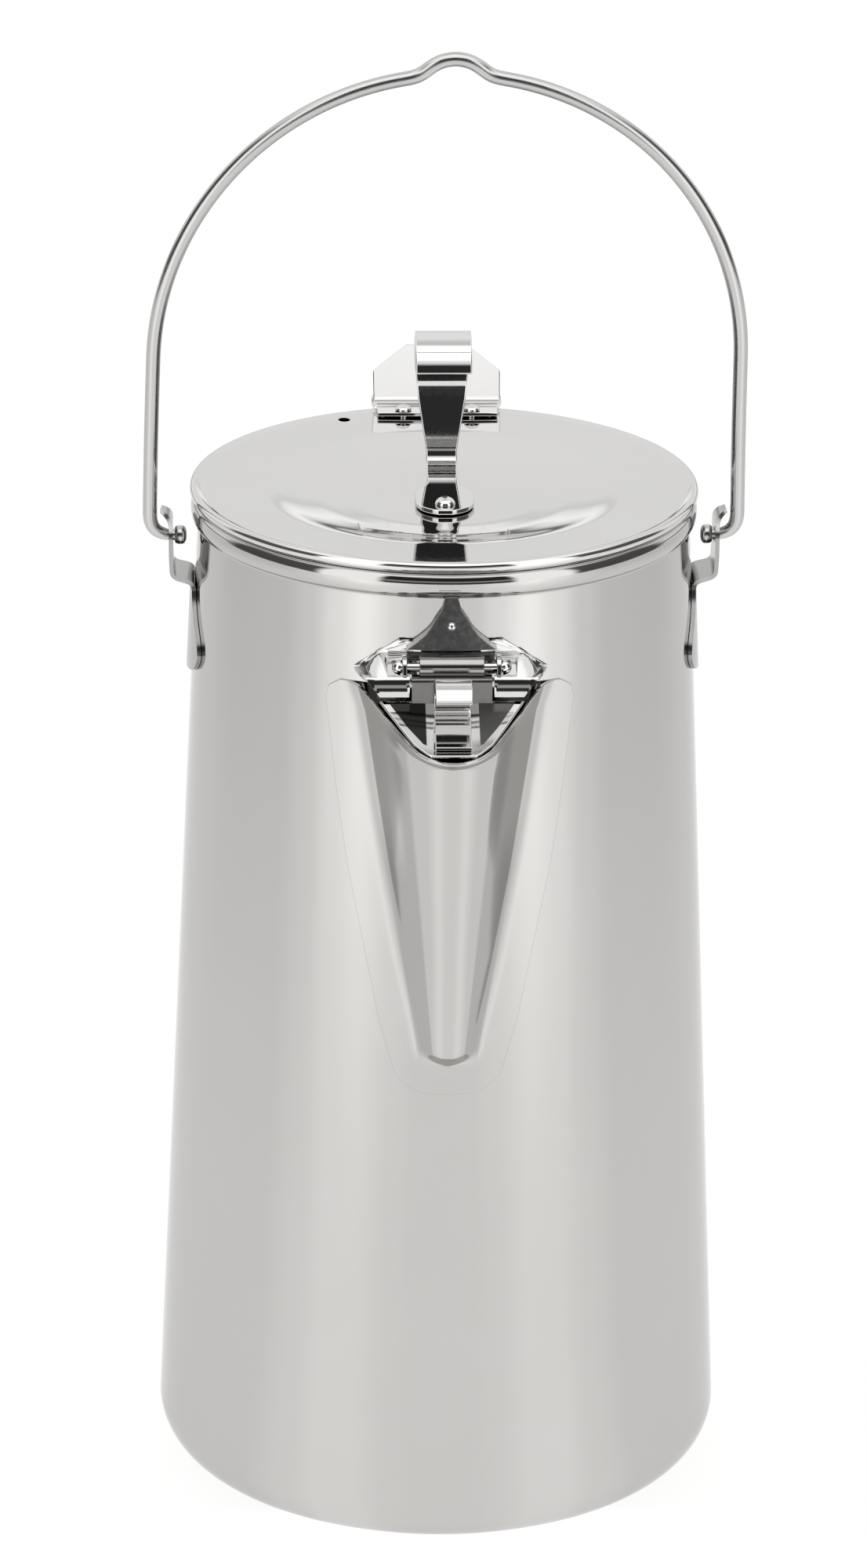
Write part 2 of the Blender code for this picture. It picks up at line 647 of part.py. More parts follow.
def upstand(cols=13):
    """Solid fan over the spout bracket: flush on the wall at its tip, standing off at its foot."""
    rows = ((205.0, 9.4), (205.6, 8.4), (206.3, 7.4), (207.9, 5.5), (209.2, 4.4), (210.6, 3.6), (212.9, 2.0), (215.4, 1.3))
    verts, faces = [], []
    for off in (0, 1):
        for z, hw in rows:
            for j in range(cols):
                x = lerp(-hw, hw, j / (cols - 1))
                r = r_wall(z) + GAP + (0.0 if off else 0.55 + 0.3 * (215.6 - z))
                verts.append((x, -math.sqrt(r * r - x * x), z))
    n, m = len(rows), cols
    idx = lambda k, i, j: (k * n + i) * m + j
    for i in range(n - 1):
        for j in range(m - 1):
            faces.append((idx(0, i, j), idx(0, i, j + 1), idx(0, i + 1, j + 1), idx(0, i + 1, j)))
            faces.append((idx(1, i, j), idx(1, i + 1, j), idx(1, i + 1, j + 1), idx(1, i, j + 1)))
    for j in range(m - 1):
        faces.append((idx(0, 0, j), idx(1, 0, j), idx(1, 0, j + 1), idx(0, 0, j + 1)))
        faces.append((idx(0, n - 1, j), idx(0, n - 1, j + 1), idx(1, n - 1, j + 1), idx(1, n - 1, j)))
    for i in range(n - 1):
        faces.append((idx(0, i, 0), idx(0, i + 1, 0), idx(1, i + 1, 0), idx(1, i, 0)))
        faces.append((idx(0, i, m - 1), idx(1, i, m - 1), idx(1, i + 1, m - 1), idx(0, i + 1, m - 1)))
    return verts, faces


def flap_plate_top(y):
    return 195.35 - 0.4 * (-60.4 - y)


def tongue_path():
    return [(-58.6, 200.4), (-60.5, 200.4), (-61.1, 200.2), (-61.35, 199.7), (-61.35, 197.0), (-61.35, 194.95)]


def spout_lid(mat):
    org = (0, SP_PIN_Y, SP_PIN_Z)
    ys = (-60.4, -68.0, -73.0, -75.6)
    v, f = strap([(y, flap_plate_top(y)) for y in ys], [29.8, 21.8, 16.2, 11.6], 0.8, cols=3)
    ob = to_object("spout_lid", v, f, mat, origin=org)
    path = tongue_path()
    boolean(ob, "UNION", strap(path, [16.6] * len(path), 0.8), "tongue")
    boolean(ob, "UNION", barrel(SP_PIN_Y, SP_PIN_Z, 2.35, PIN_HOLE + 0.03, 6.7, 16), "knuckle")
    return ob


def tab_path(n=8):
    """Underside of the sloping leg, up the back, over the round curl to its free lip."""
    pts = [(y, flap_plate_top(y) + GAP) for y in (-75.2, -72.0, -67.0)]
    pts += arc(-67.0, flap_plate_top(-65.91) + GAP + 2.69, 2.9, -68, -12, max(3, n // 4))
    pts += arc(TAB_Y, TAB_Z, TAB_R, 4, 152, n)
    return pts


def spout_lid_tab(mat):
    pts = tab_path()
    v, f = strap(pts, [7.4] * len(pts), 0.8)
    return to_object("spout_lid_tab", v, f, mat, origin=(0, SP_PIN_Y, SP_PIN_Z))


def main():
    clear_scene()
    polished = steel("polished_steel", STEEL, 0.06)
    bright = steel("bright_steel", (0.82, 0.81, 0.79), 0.10)
    wire = steel("steel_wire", (0.72, 0.71, 0.69), 0.18)
    body_shell(polished)
    spout(polished)
    bail_ear("bail_ear_left", -1, bright)
    bail_ear("bail_ear_right", 1, bright)
    bail_handle(wire)
    lid(polished)
    lid_knob(bright)
    fastenings(bright)
    lid_hinge(bright)
    spout_hinge(bright)
    spout_lid(bright)
    spout_lid_tab(bright)


main()
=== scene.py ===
"""Looks of the camping kettle: smooth polished-steel meshes over the fixed frame,
a pale floor, soft studio light and the camera.

All lengths in the shape functions are millimetres, in the frame's own axes.
"""
import math

import bmesh
import bpy
import numpy as np
from mathutils import Matrix, Vector


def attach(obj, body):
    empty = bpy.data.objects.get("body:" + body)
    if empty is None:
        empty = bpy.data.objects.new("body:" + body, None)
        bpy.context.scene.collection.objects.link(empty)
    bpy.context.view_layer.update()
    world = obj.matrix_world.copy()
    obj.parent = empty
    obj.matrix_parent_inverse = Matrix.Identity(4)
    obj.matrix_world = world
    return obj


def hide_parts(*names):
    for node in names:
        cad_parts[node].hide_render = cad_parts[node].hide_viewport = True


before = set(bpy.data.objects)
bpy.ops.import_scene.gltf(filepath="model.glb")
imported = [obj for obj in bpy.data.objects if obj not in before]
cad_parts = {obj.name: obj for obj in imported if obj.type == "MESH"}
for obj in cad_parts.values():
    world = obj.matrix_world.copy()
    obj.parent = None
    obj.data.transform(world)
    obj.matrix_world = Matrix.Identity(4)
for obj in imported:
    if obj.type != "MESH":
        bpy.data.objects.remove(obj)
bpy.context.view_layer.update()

MM = 0.001
GAP = 0.3                 # clearance between touching pieces (all lengths below in mm)

# pot
R_BASE = 62.0             # outer radius where the wall would meet the floor
TAPER = 0.044             # radius lost per mm of height
WALL = 0.7
R_FILLET = 11.5
RIM_Z = 220.3
RIM_R = 54.0
# pot lid
LID_R = 54.2
LID_TOP = 223.0
LID_T = 0.8
DISH_R = 29.0
DISH_Z = 219.2
SKIRT_R = 50.8
SKIRT_Z = 215.2
HINGE_Y, HINGE_Z = 57.4, 222.8
# knob
KNOB_T = 1.1
KNOB_TOP = 251.7
KNOB_RIVET_Y = -8.0
RIVET_X, RIVET_Y = 7.5, 47.6
# bail
WIRE = 3.2
STUB = 2.4
PIVOT_Z = 211.2
BAIL_LEAN = 7.0           # degrees the bail leans to the front at rest
LEG_X = 62.7
ARCH_A, ARCH_B, ARCH_S = 62.0, 65.0, 40.3
EAR_X = 58.2
EAR_T = 0.9
# spout
SP_TOP = 195.8
SP_DIP = 0.33             # the mouth falls this much per mm from the wall
SP_DEPTH = 23.5
SP_HALF = 19.9
SP_BOT = 100.0
SP_T = 0.7
SP_PIN_Y, SP_PIN_Z = -57.5, 201.6
TAB_Y, TAB_Z, TAB_R = -70.0, 197.0, 6.2      # curl of the spout lid's tab
PIN_R = 0.95
PIN_HOLE = 1.27



def r_wall(z):
    """Outer radius of the pot wall at height z."""
    return R_BASE - TAPER * z


def lerp(a, b, t):
    return a + (b - a) * t


def smooth(t):
    t = min(max(t, 0.0), 1.0)
    return t * t * (3 - 2 * t)


def interp(x, knots):
    return float(np.interp(x, [k[0] for k in knots], [k[1] for k in knots]))


def loft(rings, closed_loop=False, caps=True):
    """Skin rings of equal count into a solid; end rings become caps."""
    n = len(rings[0])
    verts = [tuple(p) for r in rings for p in r]
    faces = []
    m = len(rings)
    for i in range(m if closed_loop else m - 1):
        a, b = i * n, ((i + 1) % m) * n
        for j in range(n):
            k = (j + 1) % n
            faces.append((a + j, a + k, b + k, b + j))
    if caps and not closed_loop:
        faces.append(tuple(range(n - 1, -1, -1)))
        faces.append(tuple((m - 1) * n + j for j in range(n)))
    return verts, faces


def lathe(profile, seg, centre=(0, 0)):
    """Turn a closed (r, z) outline about the vertical axis."""
    verts, faces, rows = [], [], []
    for r, z in profile:
        if r < 1e-6:
            rows.append([len(verts)])
            verts.append((centre[0], centre[1], z))
        else:
            rows.append(list(range(len(verts), len(verts) + seg)))
            for j in range(seg):
                a = 2 * math.pi * j / seg
                verts.append((centre[0] + r * math.sin(a), centre[1] - r * math.cos(a), z))
    for i in range(len(rows)):
        a, b = rows[i], rows[(i + 1) % len(rows)]
        if len(a) == 1 and len(b) == 1:
            continue
        for j in range(seg):
            k = (j + 1) % seg
            if len(a) == 1:
                faces.append((a[0], b[k], b[j]))
            elif len(b) == 1:
                faces.append((a[j], a[k], b[0]))
            else:
                faces.append((a[j], a[k], b[k], b[j]))
    return verts, faces


def tube(path, radii, sides, start_up=(0, 1, 0)):
    """Round bar along a path lying near one plane, with its own radius at each point."""
    pts = [Vector(p) for p in path]
    rings = []
    up = Vector(start_up)
    for i, p in enumerate(pts):
        t = (pts[min(i + 1, len(pts) - 1)] - pts[max(i - 1, 0)]).normalized()
        side = t.cross(up).normalized()
        u = side.cross(t).normalized()
        r = radii[i]
        rings.append([p + r * (math.cos(a) * side + math.sin(a) * u)
                      for a in (2 * math.pi * (j + 0.5) / sides for j in range(sides))])
    return loft(rings)


def sheet(grid, thick):
    """Closed solid of even thickness behind a grid of points P[i][j].

    The grid is the front face; the back lies `thick` against the normal
    (d/di x d/dj)."""
    P = np.array([[tuple(p) for p in row] for row in grid], float)
    di = np.gradient(P, axis=0)
    dj = np.gradient(P, axis=1)
    n = np.cross(di, dj)
    n /= np.linalg.norm(n, axis=2, keepdims=True)
    Q = P - n * thick
    a, b = P.shape[:2]
    verts = [tuple(v) for v in P.reshape(-1, 3)] + [tuple(v) for v in Q.reshape(-1, 3)]
    off = a * b
    faces = []
    for i in range(a - 1):
        for j in range(b - 1):
            q = (i * b + j, (i + 1) * b + j, (i + 1) * b + j + 1, i * b + j + 1)
            faces.append(q)
            faces.append(tuple(off + v for v in reversed(q)))
    edge = [(0, j) for j in range(b)] + [(i, b - 1) for i in range(1, a)] \
        + [(a - 1, j) for j in range(b - 2, -1, -1)] + [(i, 0) for i in range(a - 2, 0, -1)]
    for k in range(len(edge)):
        (i0, j0), (i1, j1) = edge[k], edge[(k + 1) % len(edge)]
        u, v = i0 * b + j0, i1 * b + j1
        faces.append((u, v, off + v, off + u))
    return verts, faces


def strap(path, widths, thick, crown=0.0, cols=2):
    """Sheet strap: a path in the YZ plane, its width along X at each point."""
    grid = []
    for (y, z), w in zip(path, widths):
        grid.append([(lerp(-w / 2, w / 2, j / (cols - 1)), y, z) for j in range(cols)])
    return sheet(grid, thick)


def prism(outline, lo, hi, axis="z"):
    """Straight solid from a flat outline; `axis` is the extrusion direction."""
    def put(p, h):
        return {"z": (p[0], p[1], h), "x": (h, p[0], p[1]), "y": (p[0], h, p[1])}[axis]
    return loft([[put(p, lo) for p in outline], [put(p, hi) for p in outline]])


def rod(p0, p1, r, sides):
    p0, p1 = Vector(p0), Vector(p1)
    t = (p1 - p0).normalized()
    up = Vector((0, 0, 1)) if abs(t.z) < 0.9 else Vector((0, 1, 0))
    side = t.cross(up).normalized()
    u = side.cross(t)
    ring = [r * (math.cos(a) * side + math.sin(a) * u)
            for a in (2 * math.pi * j / sides for j in range(sides))]
    return loft([[p0 + v for v in ring], [p1 + v for v in ring]])


def turned(profile, seg, place):
    """Small turned piece: (r, h) outline from axis to axis, placed by a matrix in mm."""
    v, f = lathe(profile, seg)
    return [tuple(place @ Vector(p)) for p in v], f


def merge(*pairs):
    verts, faces = [], []
    for v, f in pairs:
        o = len(verts)
        verts += list(v)
        faces += [tuple(o + i for i in q) for q in f]
    return verts, faces


def pot_profile(n_fillet=6, n_rim=6):
    """Outline of the pot wall, from the axis outside up over the rim and back inside."""
    out = [(0.0, 0.0)]
    lean = math.atan(TAPER)
    # fillet circle tangent to the floor and to the leaning wall
    cz = R_FILLET
    cx = r_wall(cz) - R_FILLET / math.cos(lean)
    a0, a1 = -math.pi / 2, lean
    for i in range(n_fillet + 1):
        a = lerp(a0, a1, i / n_fillet)
        out.append((cx + R_FILLET * math.cos(a), cz + R_FILLET * math.sin(a)))
    out.append((r_wall(217.3), 217.3))
    # rolled rim: a small bead standing outward
    bc, br = RIM_R - 1.35, 1.35
    for i in range(n_rim + 1):
        a = lerp(-0.9, math.pi / 2, i / n_rim)
        out.append((bc + br * math.cos(a), RIM_Z - br + br * math.sin(a)))
    out.append((r_wall(RIM_Z) - WALL, RIM_Z - 0.25))
    inner = [(r_wall(217.3) - WALL, 217.3)]
    ri = R_FILLET - WALL
    for i in range(n_fillet - 1, -1, -1):
        a = lerp(a0, a1, i / (n_fillet - 1))
        inner.append((cx + ri * math.cos(a), cz + ri * math.sin(a)))
    inner.append((0.0, WALL))
    return out + inner


def strainer_holes():
    """Centres (x, z) of the pouring holes behind the spout."""
    holes = []
    for row, (z, n) in enumerate(((188.0, 4), (179.0, 3), (170.0, 4), (161.0, 3), (152.0, 2), (143.0, 1))):
        for k in range(n):
            holes.append(((k - (n - 1) / 2) * 7.6, z))
    return holes


def spout_half(z):
    """Half width of the trough where it leaves the wall."""
    return interp(z, ((111.4, 3.0), (112.0, 4.6), (113.2, 5.6), (115.2, 6.3), (122.2, 7.3), (136.2, 10.2), (157.0, 13.6),
                      (177.7, 16.5), (191.0, 18.4), (SP_TOP, SP_HALF)))


def spout_nose(z):
    """Radius of the rounded front of the trough."""
    return interp(z, ((112.0, 5.0), (125.0, 5.7), (141.0, 6.3), (165.0, 8.2), (189.0, 10.0), (SP_TOP, 10.2)))


def spout_flange(z):
    """Half width of the weld flange."""
    return interp(z, ((106.0, 5.0), (107.2, 8.6), (110.0, 11.2), (122.0, 14.6), (156.0, 21.4),
                      (173.0, 23.8), (192.0, 25.9), (194.4, 25.3), (SP_TOP, 23.2)))


def arc(cy, cz, r, a0, a1, n):
    """Points of an arc in the YZ plane, degrees from +Y towards +Z."""
    return [(cy + r * math.cos(math.radians(a)), cz + r * math.sin(math.radians(a)))
            for a in (lerp(a0, a1, i / n) for i in range(n + 1))]


def ear_grid(side, cols=5):
    """Outer face of an ear: weld pad on the wall, jog, upright plate, short lip."""
    rows = [(182.6, 3.5, None), (183.2, 8.0, None), (185.0, 12.4, None), (188.0, 15.0, None),
            (191.0, 14.2, None), (194.5, 11.0, None), (198.0, 7.8, None), (200.6, 6.4, None),
            (203.3, 6.0, EAR_X + 0.15), (204.2, 6.0, EAR_X + 0.45), (208.0, 6.0, EAR_X + 0.45),
            (215.0, 5.9, EAR_X + 0.45), (216.0, 5.2, EAR_X + 1.2), (216.5, 4.4, EAR_X + 2.3)]
    grid = []
    for z, hw, x in rows:
        row = []
        for j in range(cols):
            y = lerp(hw, -hw, j / (cols - 1))
            r = r_wall(z) + GAP + EAR_T
            xx = math.sqrt(r * r - y * y) if x is None else x
            row.append((side * xx, y, z))
        grid.append(row if side > 0 else row[::-1])
    return grid


def bail_half(n_arch=15, n_bend=4, n_leg=2):
    """Centreline of the right half of the bail: (x, s, radius), s measured up from the
    pivot in the bail's own plane, from the top of the kink to the headed end."""
    out = []
    r, h = 8.9, 3.6
    for i in range(n_arch + 1):
        t = i / n_arch
        phi = math.pi / 2 * t ** 1.25
        x = ARCH_A * math.sin(phi)
        s = ARCH_S + ARCH_B * math.cos(phi)
        if abs(x) < math.sqrt(r * r - (r - h) ** 2):
            s += math.sqrt(r * r - x * x) - (r - h)
        out.append((x, s, WIRE / 2))
    b = 3.4
    for i in range(1, n_leg):
        out.append((lerp(ARCH_A, LEG_X, i / n_leg), lerp(ARCH_S, b, i / n_leg), WIRE / 2))
    for i in range(n_bend + 1):
        a = -math.pi / 2 * i / n_bend
        out.append((LEG_X - b + b * math.cos(a), b + b * math.sin(a),
                    lerp(WIRE, STUB + 0.3, i / n_bend) / 2))
    out.append((LEG_X - b - 0.5, 0.0, STUB / 2))
    out.append((57.42, 0.0, STUB / 2))
    for x, r in ((57.38, 1.55), (57.2, 1.8), (56.8, 1.98), (56.2, 2.05), (55.8, 2.03), (55.4, 1.88), (55.15, 1.6), (54.95, 1.2), (54.85, 0.6)):
        out.append((x, 0.0, r))
    return out


def bail_path(**kw):
    half = bail_half(**kw)
    pts = [(-x, s, r) for x, s, r in reversed(half)] + half[1:]
    a = math.radians(BAIL_LEAN)
    return [(x, -s * math.sin(a), PIVOT_Z + s * math.cos(a)) for x, s, r in pts], [p[2] for p in pts]


def lid_top(r):
    """Height of the lid's upper face at radius r."""
    return interp(r, ((0, DISH_Z), (15, DISH_Z), (19, DISH_Z + 0.1), (26, DISH_Z + 0.7), (33, DISH_Z + 1.85), (36.5, DISH_Z + 2.55),
                      (38.5, DISH_Z + 2.85), (51.8, LID_TOP - 0.45), (53.05, LID_TOP)))


def lid_profile(n_edge=4):
    out = [(r, lid_top(r)) for r in (0.0, 15.0, 19.0, 26.0, 33.0, 38.5, 51.8)]
    cr = 1.15
    for i in range(n_edge + 1):
        a = lerp(math.pi / 2, -0.5, i / n_edge)
        out.append((LID_R - cr + cr * math.cos(a), LID_TOP - cr + cr * math.sin(a)))
    zb = RIM_Z + GAP
    out += [(LID_R - 0.3, zb), (SKIRT_R, zb), (SKIRT_R, SKIRT_Z), (SKIRT_R - LID_T, SKIRT_Z),
            (SKIRT_R - LID_T, lid_top(50) - 0.9)]
    out += [(r, lid_top(r) - LID_T) for r in (38.5, 33.2, 26.2, 15.0, 0.0)]
    return out


def knob_path(n=8):
    """Outer side of the strap: under the foot, up the back of the leaning riser, over the curl."""
    z0 = DISH_Z + GAP
    pts = [(-12.2, z0), (-11.4, z0), (-9.6, z0), (-6.5, z0), (1.5, z0), (4.7, z0), (6.5, z0)]
    pts += arc(14.1, z0 + 5.4, 5.4, -90, -7.5, max(3, n // 2))
    pts += [(20.2, 230.0), (20.9, 235.2), (21.25, 238.7), (21.3, 242.0)]
    pts += arc(15.2, KNOB_TOP - 5.5, 5.5, 0, 90, n // 2)
    pts += arc(15.2, KNOB_TOP - 9.0, 9.0, 90, 158, n // 2)[1:]
    pts += [(6.4, 244.95)]
    foot = ((-12.2, 2.8), (-11.4, 6.4), (-9.6, 10.2), (-6.5, 12.5), (1.5, 12.5), (4.7, 7.6), (6.5, 6.6), (14.1, 6.6))
    riser = ((z0 + 0.5, 6.6), (225.0, 6.7), (231.0, 9.0), (235.2, 10.3), (238.7, 10.9), (244.0, 12.0), (KNOB_TOP, 12.0))
    return pts, [interp(y, foot) if z < z0 + 0.5 else interp(z, riser) for y, z in pts]


def rivet_profile(r_head, h_head, r_shank, z_top, z_bot, r_tail, h_tail, n=4):
    """Dome-headed rivet; z_top under the head, z_bot over the tail."""
    out = [(0.0, z_top + h_head)]
    for i in range(1, n + 1):
        a = math.pi / 2 * (1 - i / n)
        out.append((r_head * math.cos(a), z_top + h_head * math.sin(a)))
    out += [(r_shank, z_top), (r_shank, z_bot), (r_tail, z_bot), (r_tail * 0.8, z_bot - h_tail), (0.0, z_bot - h_tail)]
    return out[::-1]


def leaf_under(y):
    """Underside of the hinge flange, just over the sloping lid."""
    return interp(y, ((46.2, 222.8), (50.0, 222.95), (51.4, 223.33), (54.4, 223.4)))


def leaf_path(n=3):
    """Underside of the flange, round the bend and up the back of the leaning thumb plate."""
    pts = [(46.2, leaf_under(46.2)), (50.0, leaf_under(50.0)), (51.4, 223.33)]
    wd = [26.4, 26.4, 26.8]
    bend = arc(53.0, 225.0, 1.6, -90, -32, n)
    pts += bend
    wd += [27.8] * len(bend)
    for z, w in ((229.6, 28.0), (233.6, 16.4), (234.6, 13.2)):
        pts.append((54.36 + (z - 224.15) * 0.625, z))
        wd.append(w)
    return pts, wd


def leaf_web():
    """Outline (y, z) of the web between the leaf's bend and its barrel."""
    return [(53.2, 223.7), (55.4, 223.2), (55.9, 224.0), (57.2, 224.75), (54.6, 225.4)]


def barrel(cy, cz, r_out, r_in, hw, sides):
    place = Matrix.Translation((0, cy, cz)) @ Matrix.Rotation(math.pi / 2, 4, "Y")
    return turned([(r_in, -hw), (r_out, -hw), (r_out, hw), (r_in, hw)], sides, place)


def headed_pin(cy, cz, hw, h_head, r_head, sides=12):
    place = Matrix.Translation((0, cy, cz)) @ Matrix.Rotation(math.pi / 2, 4, "Y")
    prof = [(0.0, -hw), (r_head * 0.7, -hw + 0.12), (r_head, -hw + h_head * 0.6), (r_head, -hw + h_head), (PIN_R, -hw + h_head),
            (PIN_R, hw - h_head), (r_head, hw - h_head), (r_head, hw - h_head * 0.6), (r_head * 0.7, hw - 0.12), (0.0, hw)]
    return turned(prof, sides, place)


def shelf_grid(cols=13):
    """Upper face of the spout bracket: weld tab on the wall, sloping shelf, apron."""
    def back(x, hw):
        r = r_wall(204.0) + GAP + 0.85
        return -math.sqrt(r * r - x * x)
    def z_back(x):
        return 203.4 - 4.1 * smooth((abs(x) - 14.0) / 6.2)
    rows = []
    for k, hw in enumerate((11.0, 20.2, 20.0, 17.9, 17.5, 14.9)):
        row = []
        for j in range(cols):
            u = lerp(-1, 1, j / (cols - 1))
            x = hw * u
            yb, zb = back(x, hw), z_back(20.2 * u)
            if k == 0:
                p = (x, yb, 205.9)
            elif k == 1:
                p = (x, yb - 0.05, zb + 0.3)
            elif k == 2:
                p = (x, yb - 0.7, zb - 0.15)
            elif k == 3:
                p = (x, -60.4, 200.35)
            elif k == 4:
                p = (x, -60.9, 199.75)
            else:
                p = (x, -60.9, 196.2)
            row.append(p)
        rows.append(row)
    return rows


def upstand(cols=13):
    """Solid fan over the spout bracket, standing for the dark reflection on the wall above it: flush on the wall at its
    tip, standing off at its foot.
    """
    rows = ((205.0, 9.4), (205.6, 8.4), (206.3, 7.4), (207.9, 5.5), (209.2, 4.4), (210.6, 3.6), (212.9, 2.0), (215.4, 1.3))
    verts, faces = [], []
    for off in (0, 1):
        for z, hw in rows:
            for j in range(cols):
                x = lerp(-hw, hw, j / (cols - 1))
                r = r_wall(z) + GAP + (0.0 if off else 0.55 + 0.3 * (215.6 - z))
                verts.append((x, -math.sqrt(r * r - x * x), z))
    n, m = len(rows), cols
    idx = lambda k, i, j: (k * n + i) * m + j
    for i in range(n - 1):
        for j in range(m - 1):
            faces.append((idx(0, i, j), idx(0, i, j + 1), idx(0, i + 1, j + 1), idx(0, i + 1, j)))
            faces.append((idx(1, i, j), idx(1, i + 1, j), idx(1, i + 1, j + 1), idx(1, i, j + 1)))
    for j in range(m - 1):
        faces.append((idx(0, 0, j), idx(1, 0, j), idx(1, 0, j + 1), idx(0, 0, j + 1)))
        faces.append((idx(0, n - 1, j), idx(0, n - 1, j + 1), idx(1, n - 1, j + 1), idx(1, n - 1, j)))
    for i in range(n - 1):
        faces.append((idx(0, i, 0), idx(0, i + 1, 0), idx(1, i + 1, 0), idx(1, i, 0)))
        faces.append((idx(0, i, m - 1), idx(1, i, m - 1), idx(1, i + 1, m - 1), idx(0, i + 1, m - 1)))
    return verts, faces


def flap_plate_top(y):
    return 195.35 - 0.4 * (-60.4 - y)


def tongue_path():
    return [(-58.6, 200.4), (-60.5, 200.4), (-61.1, 200.2), (-61.35, 199.7), (-61.35, 197.0), (-61.35, 194.95)]


def tab_path(n=8):
    """Underside of the sloping leg, up the back, over the round curl to its free lip."""
    pts = [(y, flap_plate_top(y) + GAP) for y in (-75.2, -72.0, -67.0)]
    pts += arc(-67.0, flap_plate_top(-65.91) + GAP + 2.69, 2.9, -68, -12, max(3, n // 4))
    pts += arc(TAB_Y, TAB_Z, TAB_R, 4, 152, n)
    return pts


def node(nt, kind, **inputs):
    n = nt.nodes.new(kind)
    for k, v in inputs.items():
        if hasattr(n, k) and k not in ("Scale",):
            try:
                setattr(n, k, v)
                continue
            except Exception:
                pass
        n.inputs[k].default_value = v
    return n


def ramp(nt, src, stops):
    r = nt.nodes.new("ShaderNodeValToRGB")
    el = r.color_ramp.elements
    while len(el) > 1:
        el.remove(el[-1])
    el[0].position = stops[0][0]
    el[0].color = stops[0][1]
    for p, c in stops[1:]:
        e = el.new(p)
        e.color = c
    nt.links.new(src, r.inputs["Fac"])
    return r.outputs["Color"]


def steel(name, tone=0.62, warm=0.0, rough=(0.045, 0.075), grain="turned", grain_amt=0.25, smudge=0.35):
    """Stainless steel: fine polishing lines, faint buffing haze and tonal drift."""
    m = bpy.data.materials.new(name)
    m.use_nodes = True
    nt = m.node_tree
    b = nt.nodes["Principled BSDF"]
    b.inputs["Metallic"].default_value = 1.0
    b.inputs["Specular Tint"].default_value = (0.85, 0.85, 0.85, 1.0)
    tc = nt.nodes.new("ShaderNodeTexCoord")
    obj = tc.outputs["Object"]
    mp = nt.nodes.new("ShaderNodeMapping")
    nt.links.new(obj, mp.inputs["Vector"])
    # polishing direction: stretched noise, short across the lines and long along them
    if grain == "turned":          # lines run round the pot: fine in z
        mp.inputs["Scale"].default_value = (14.0, 14.0, 2600.0)
    elif grain == "along_z":
        mp.inputs["Scale"].default_value = (2400.0, 2400.0, 40.0)
    elif grain == "along_y":
        mp.inputs["Scale"].default_value = (2600.0, 60.0, 60.0)
    else:                          # fine even haze
        mp.inputs["Scale"].default_value = (900.0, 900.0, 900.0)
    lines = nt.nodes.new("ShaderNodeTexNoise")
    lines.inputs["Scale"].default_value = 1.0
    lines.inputs["Detail"].default_value = 3.0
    lines.inputs["Roughness"].default_value = 0.6
    nt.links.new(mp.outputs["Vector"], lines.inputs["Vector"])
    # haze: broad soft patches left by buffing and handling
    haze = nt.nodes.new("ShaderNodeTexNoise")
    haze.inputs["Scale"].default_value = 34.0
    haze.inputs["Detail"].default_value = 4.0
    haze.inputs["Roughness"].default_value = 0.55
    nt.links.new(obj, haze.inputs["Vector"])
    speck = nt.nodes.new("ShaderNodeTexNoise")
    speck.inputs["Scale"].default_value = 700.0
    speck.inputs["Detail"].default_value = 2.0
    nt.links.new(obj, speck.inputs["Vector"])
    # roughness
    mix = nt.nodes.new("ShaderNodeMath"); mix.operation = "MULTIPLY_ADD"
    nt.links.new(haze.outputs["Fac"], mix.inputs[0])
    mix.inputs[1].default_value = smudge
    nt.links.new(lines.outputs["Fac"], mix.inputs[2])
    rr = nt.nodes.new("ShaderNodeMapRange")
    rr.inputs["From Min"].default_value = 0.35
    rr.inputs["From Max"].default_value = 1.0
    rr.inputs["To Min"].default_value = rough[0]
    rr.inputs["To Max"].default_value = rough[1]
    nt.links.new(mix.outputs[0], rr.inputs["Value"])
    nt.links.new(rr.outputs["Result"], b.inputs["Roughness"])
    # colour: nearly neutral, a touch warmer and cooler in soft patches
    t = tone
    c = ramp(nt, haze.outputs["Fac"], [
        (0.30, (t * (0.985 + warm), t * 0.980, t * (0.972 - warm), 1)),
        (0.50, (t * (1.0 + warm), t * 0.990, t * (0.980 - warm), 1)),
        (0.70, (t * (1.005 + warm), t * 1.0, t * (0.995 - warm), 1))])
    nt.links.new(c, b.inputs["Base Color"])
    # bump: the polishing lines, then pin-point grain
    bp = nt.nodes.new("ShaderNodeBump")
    bp.inputs["Strength"].default_value = grain_amt
    bp.inputs["Distance"].default_value = 0.000006
    nt.links.new(lines.outputs["Fac"], bp.inputs["Height"])
    b2 = nt.nodes.new("ShaderNodeBump")
    b2.inputs["Strength"].default_value = grain_amt * 0.6
    b2.inputs["Distance"].default_value = 0.000004
    nt.links.new(speck.outputs["Fac"], b2.inputs["Height"])
    nt.links.new(bp.outputs["Normal"], b2.inputs["Normal"])
    nt.links.new(b2.outputs["Normal"], b.inputs["Normal"])
    return m


M_BODY = steel("mirror_steel_turned", 0.53, 0.012, (0.05, 0.085), "turned", 0.12)
M_LID = steel("mirror_steel_lid", 0.69, 0.002, (0.03, 0.055), "haze", 0.08)
M_SHEET = steel("mirror_steel_sheet", 0.72, 0.0, (0.03, 0.06), "haze", 0.10)
M_SPOUT = steel("mirror_steel_pressed", 0.53, 0.012, (0.05, 0.085), "along_z", 0.12)


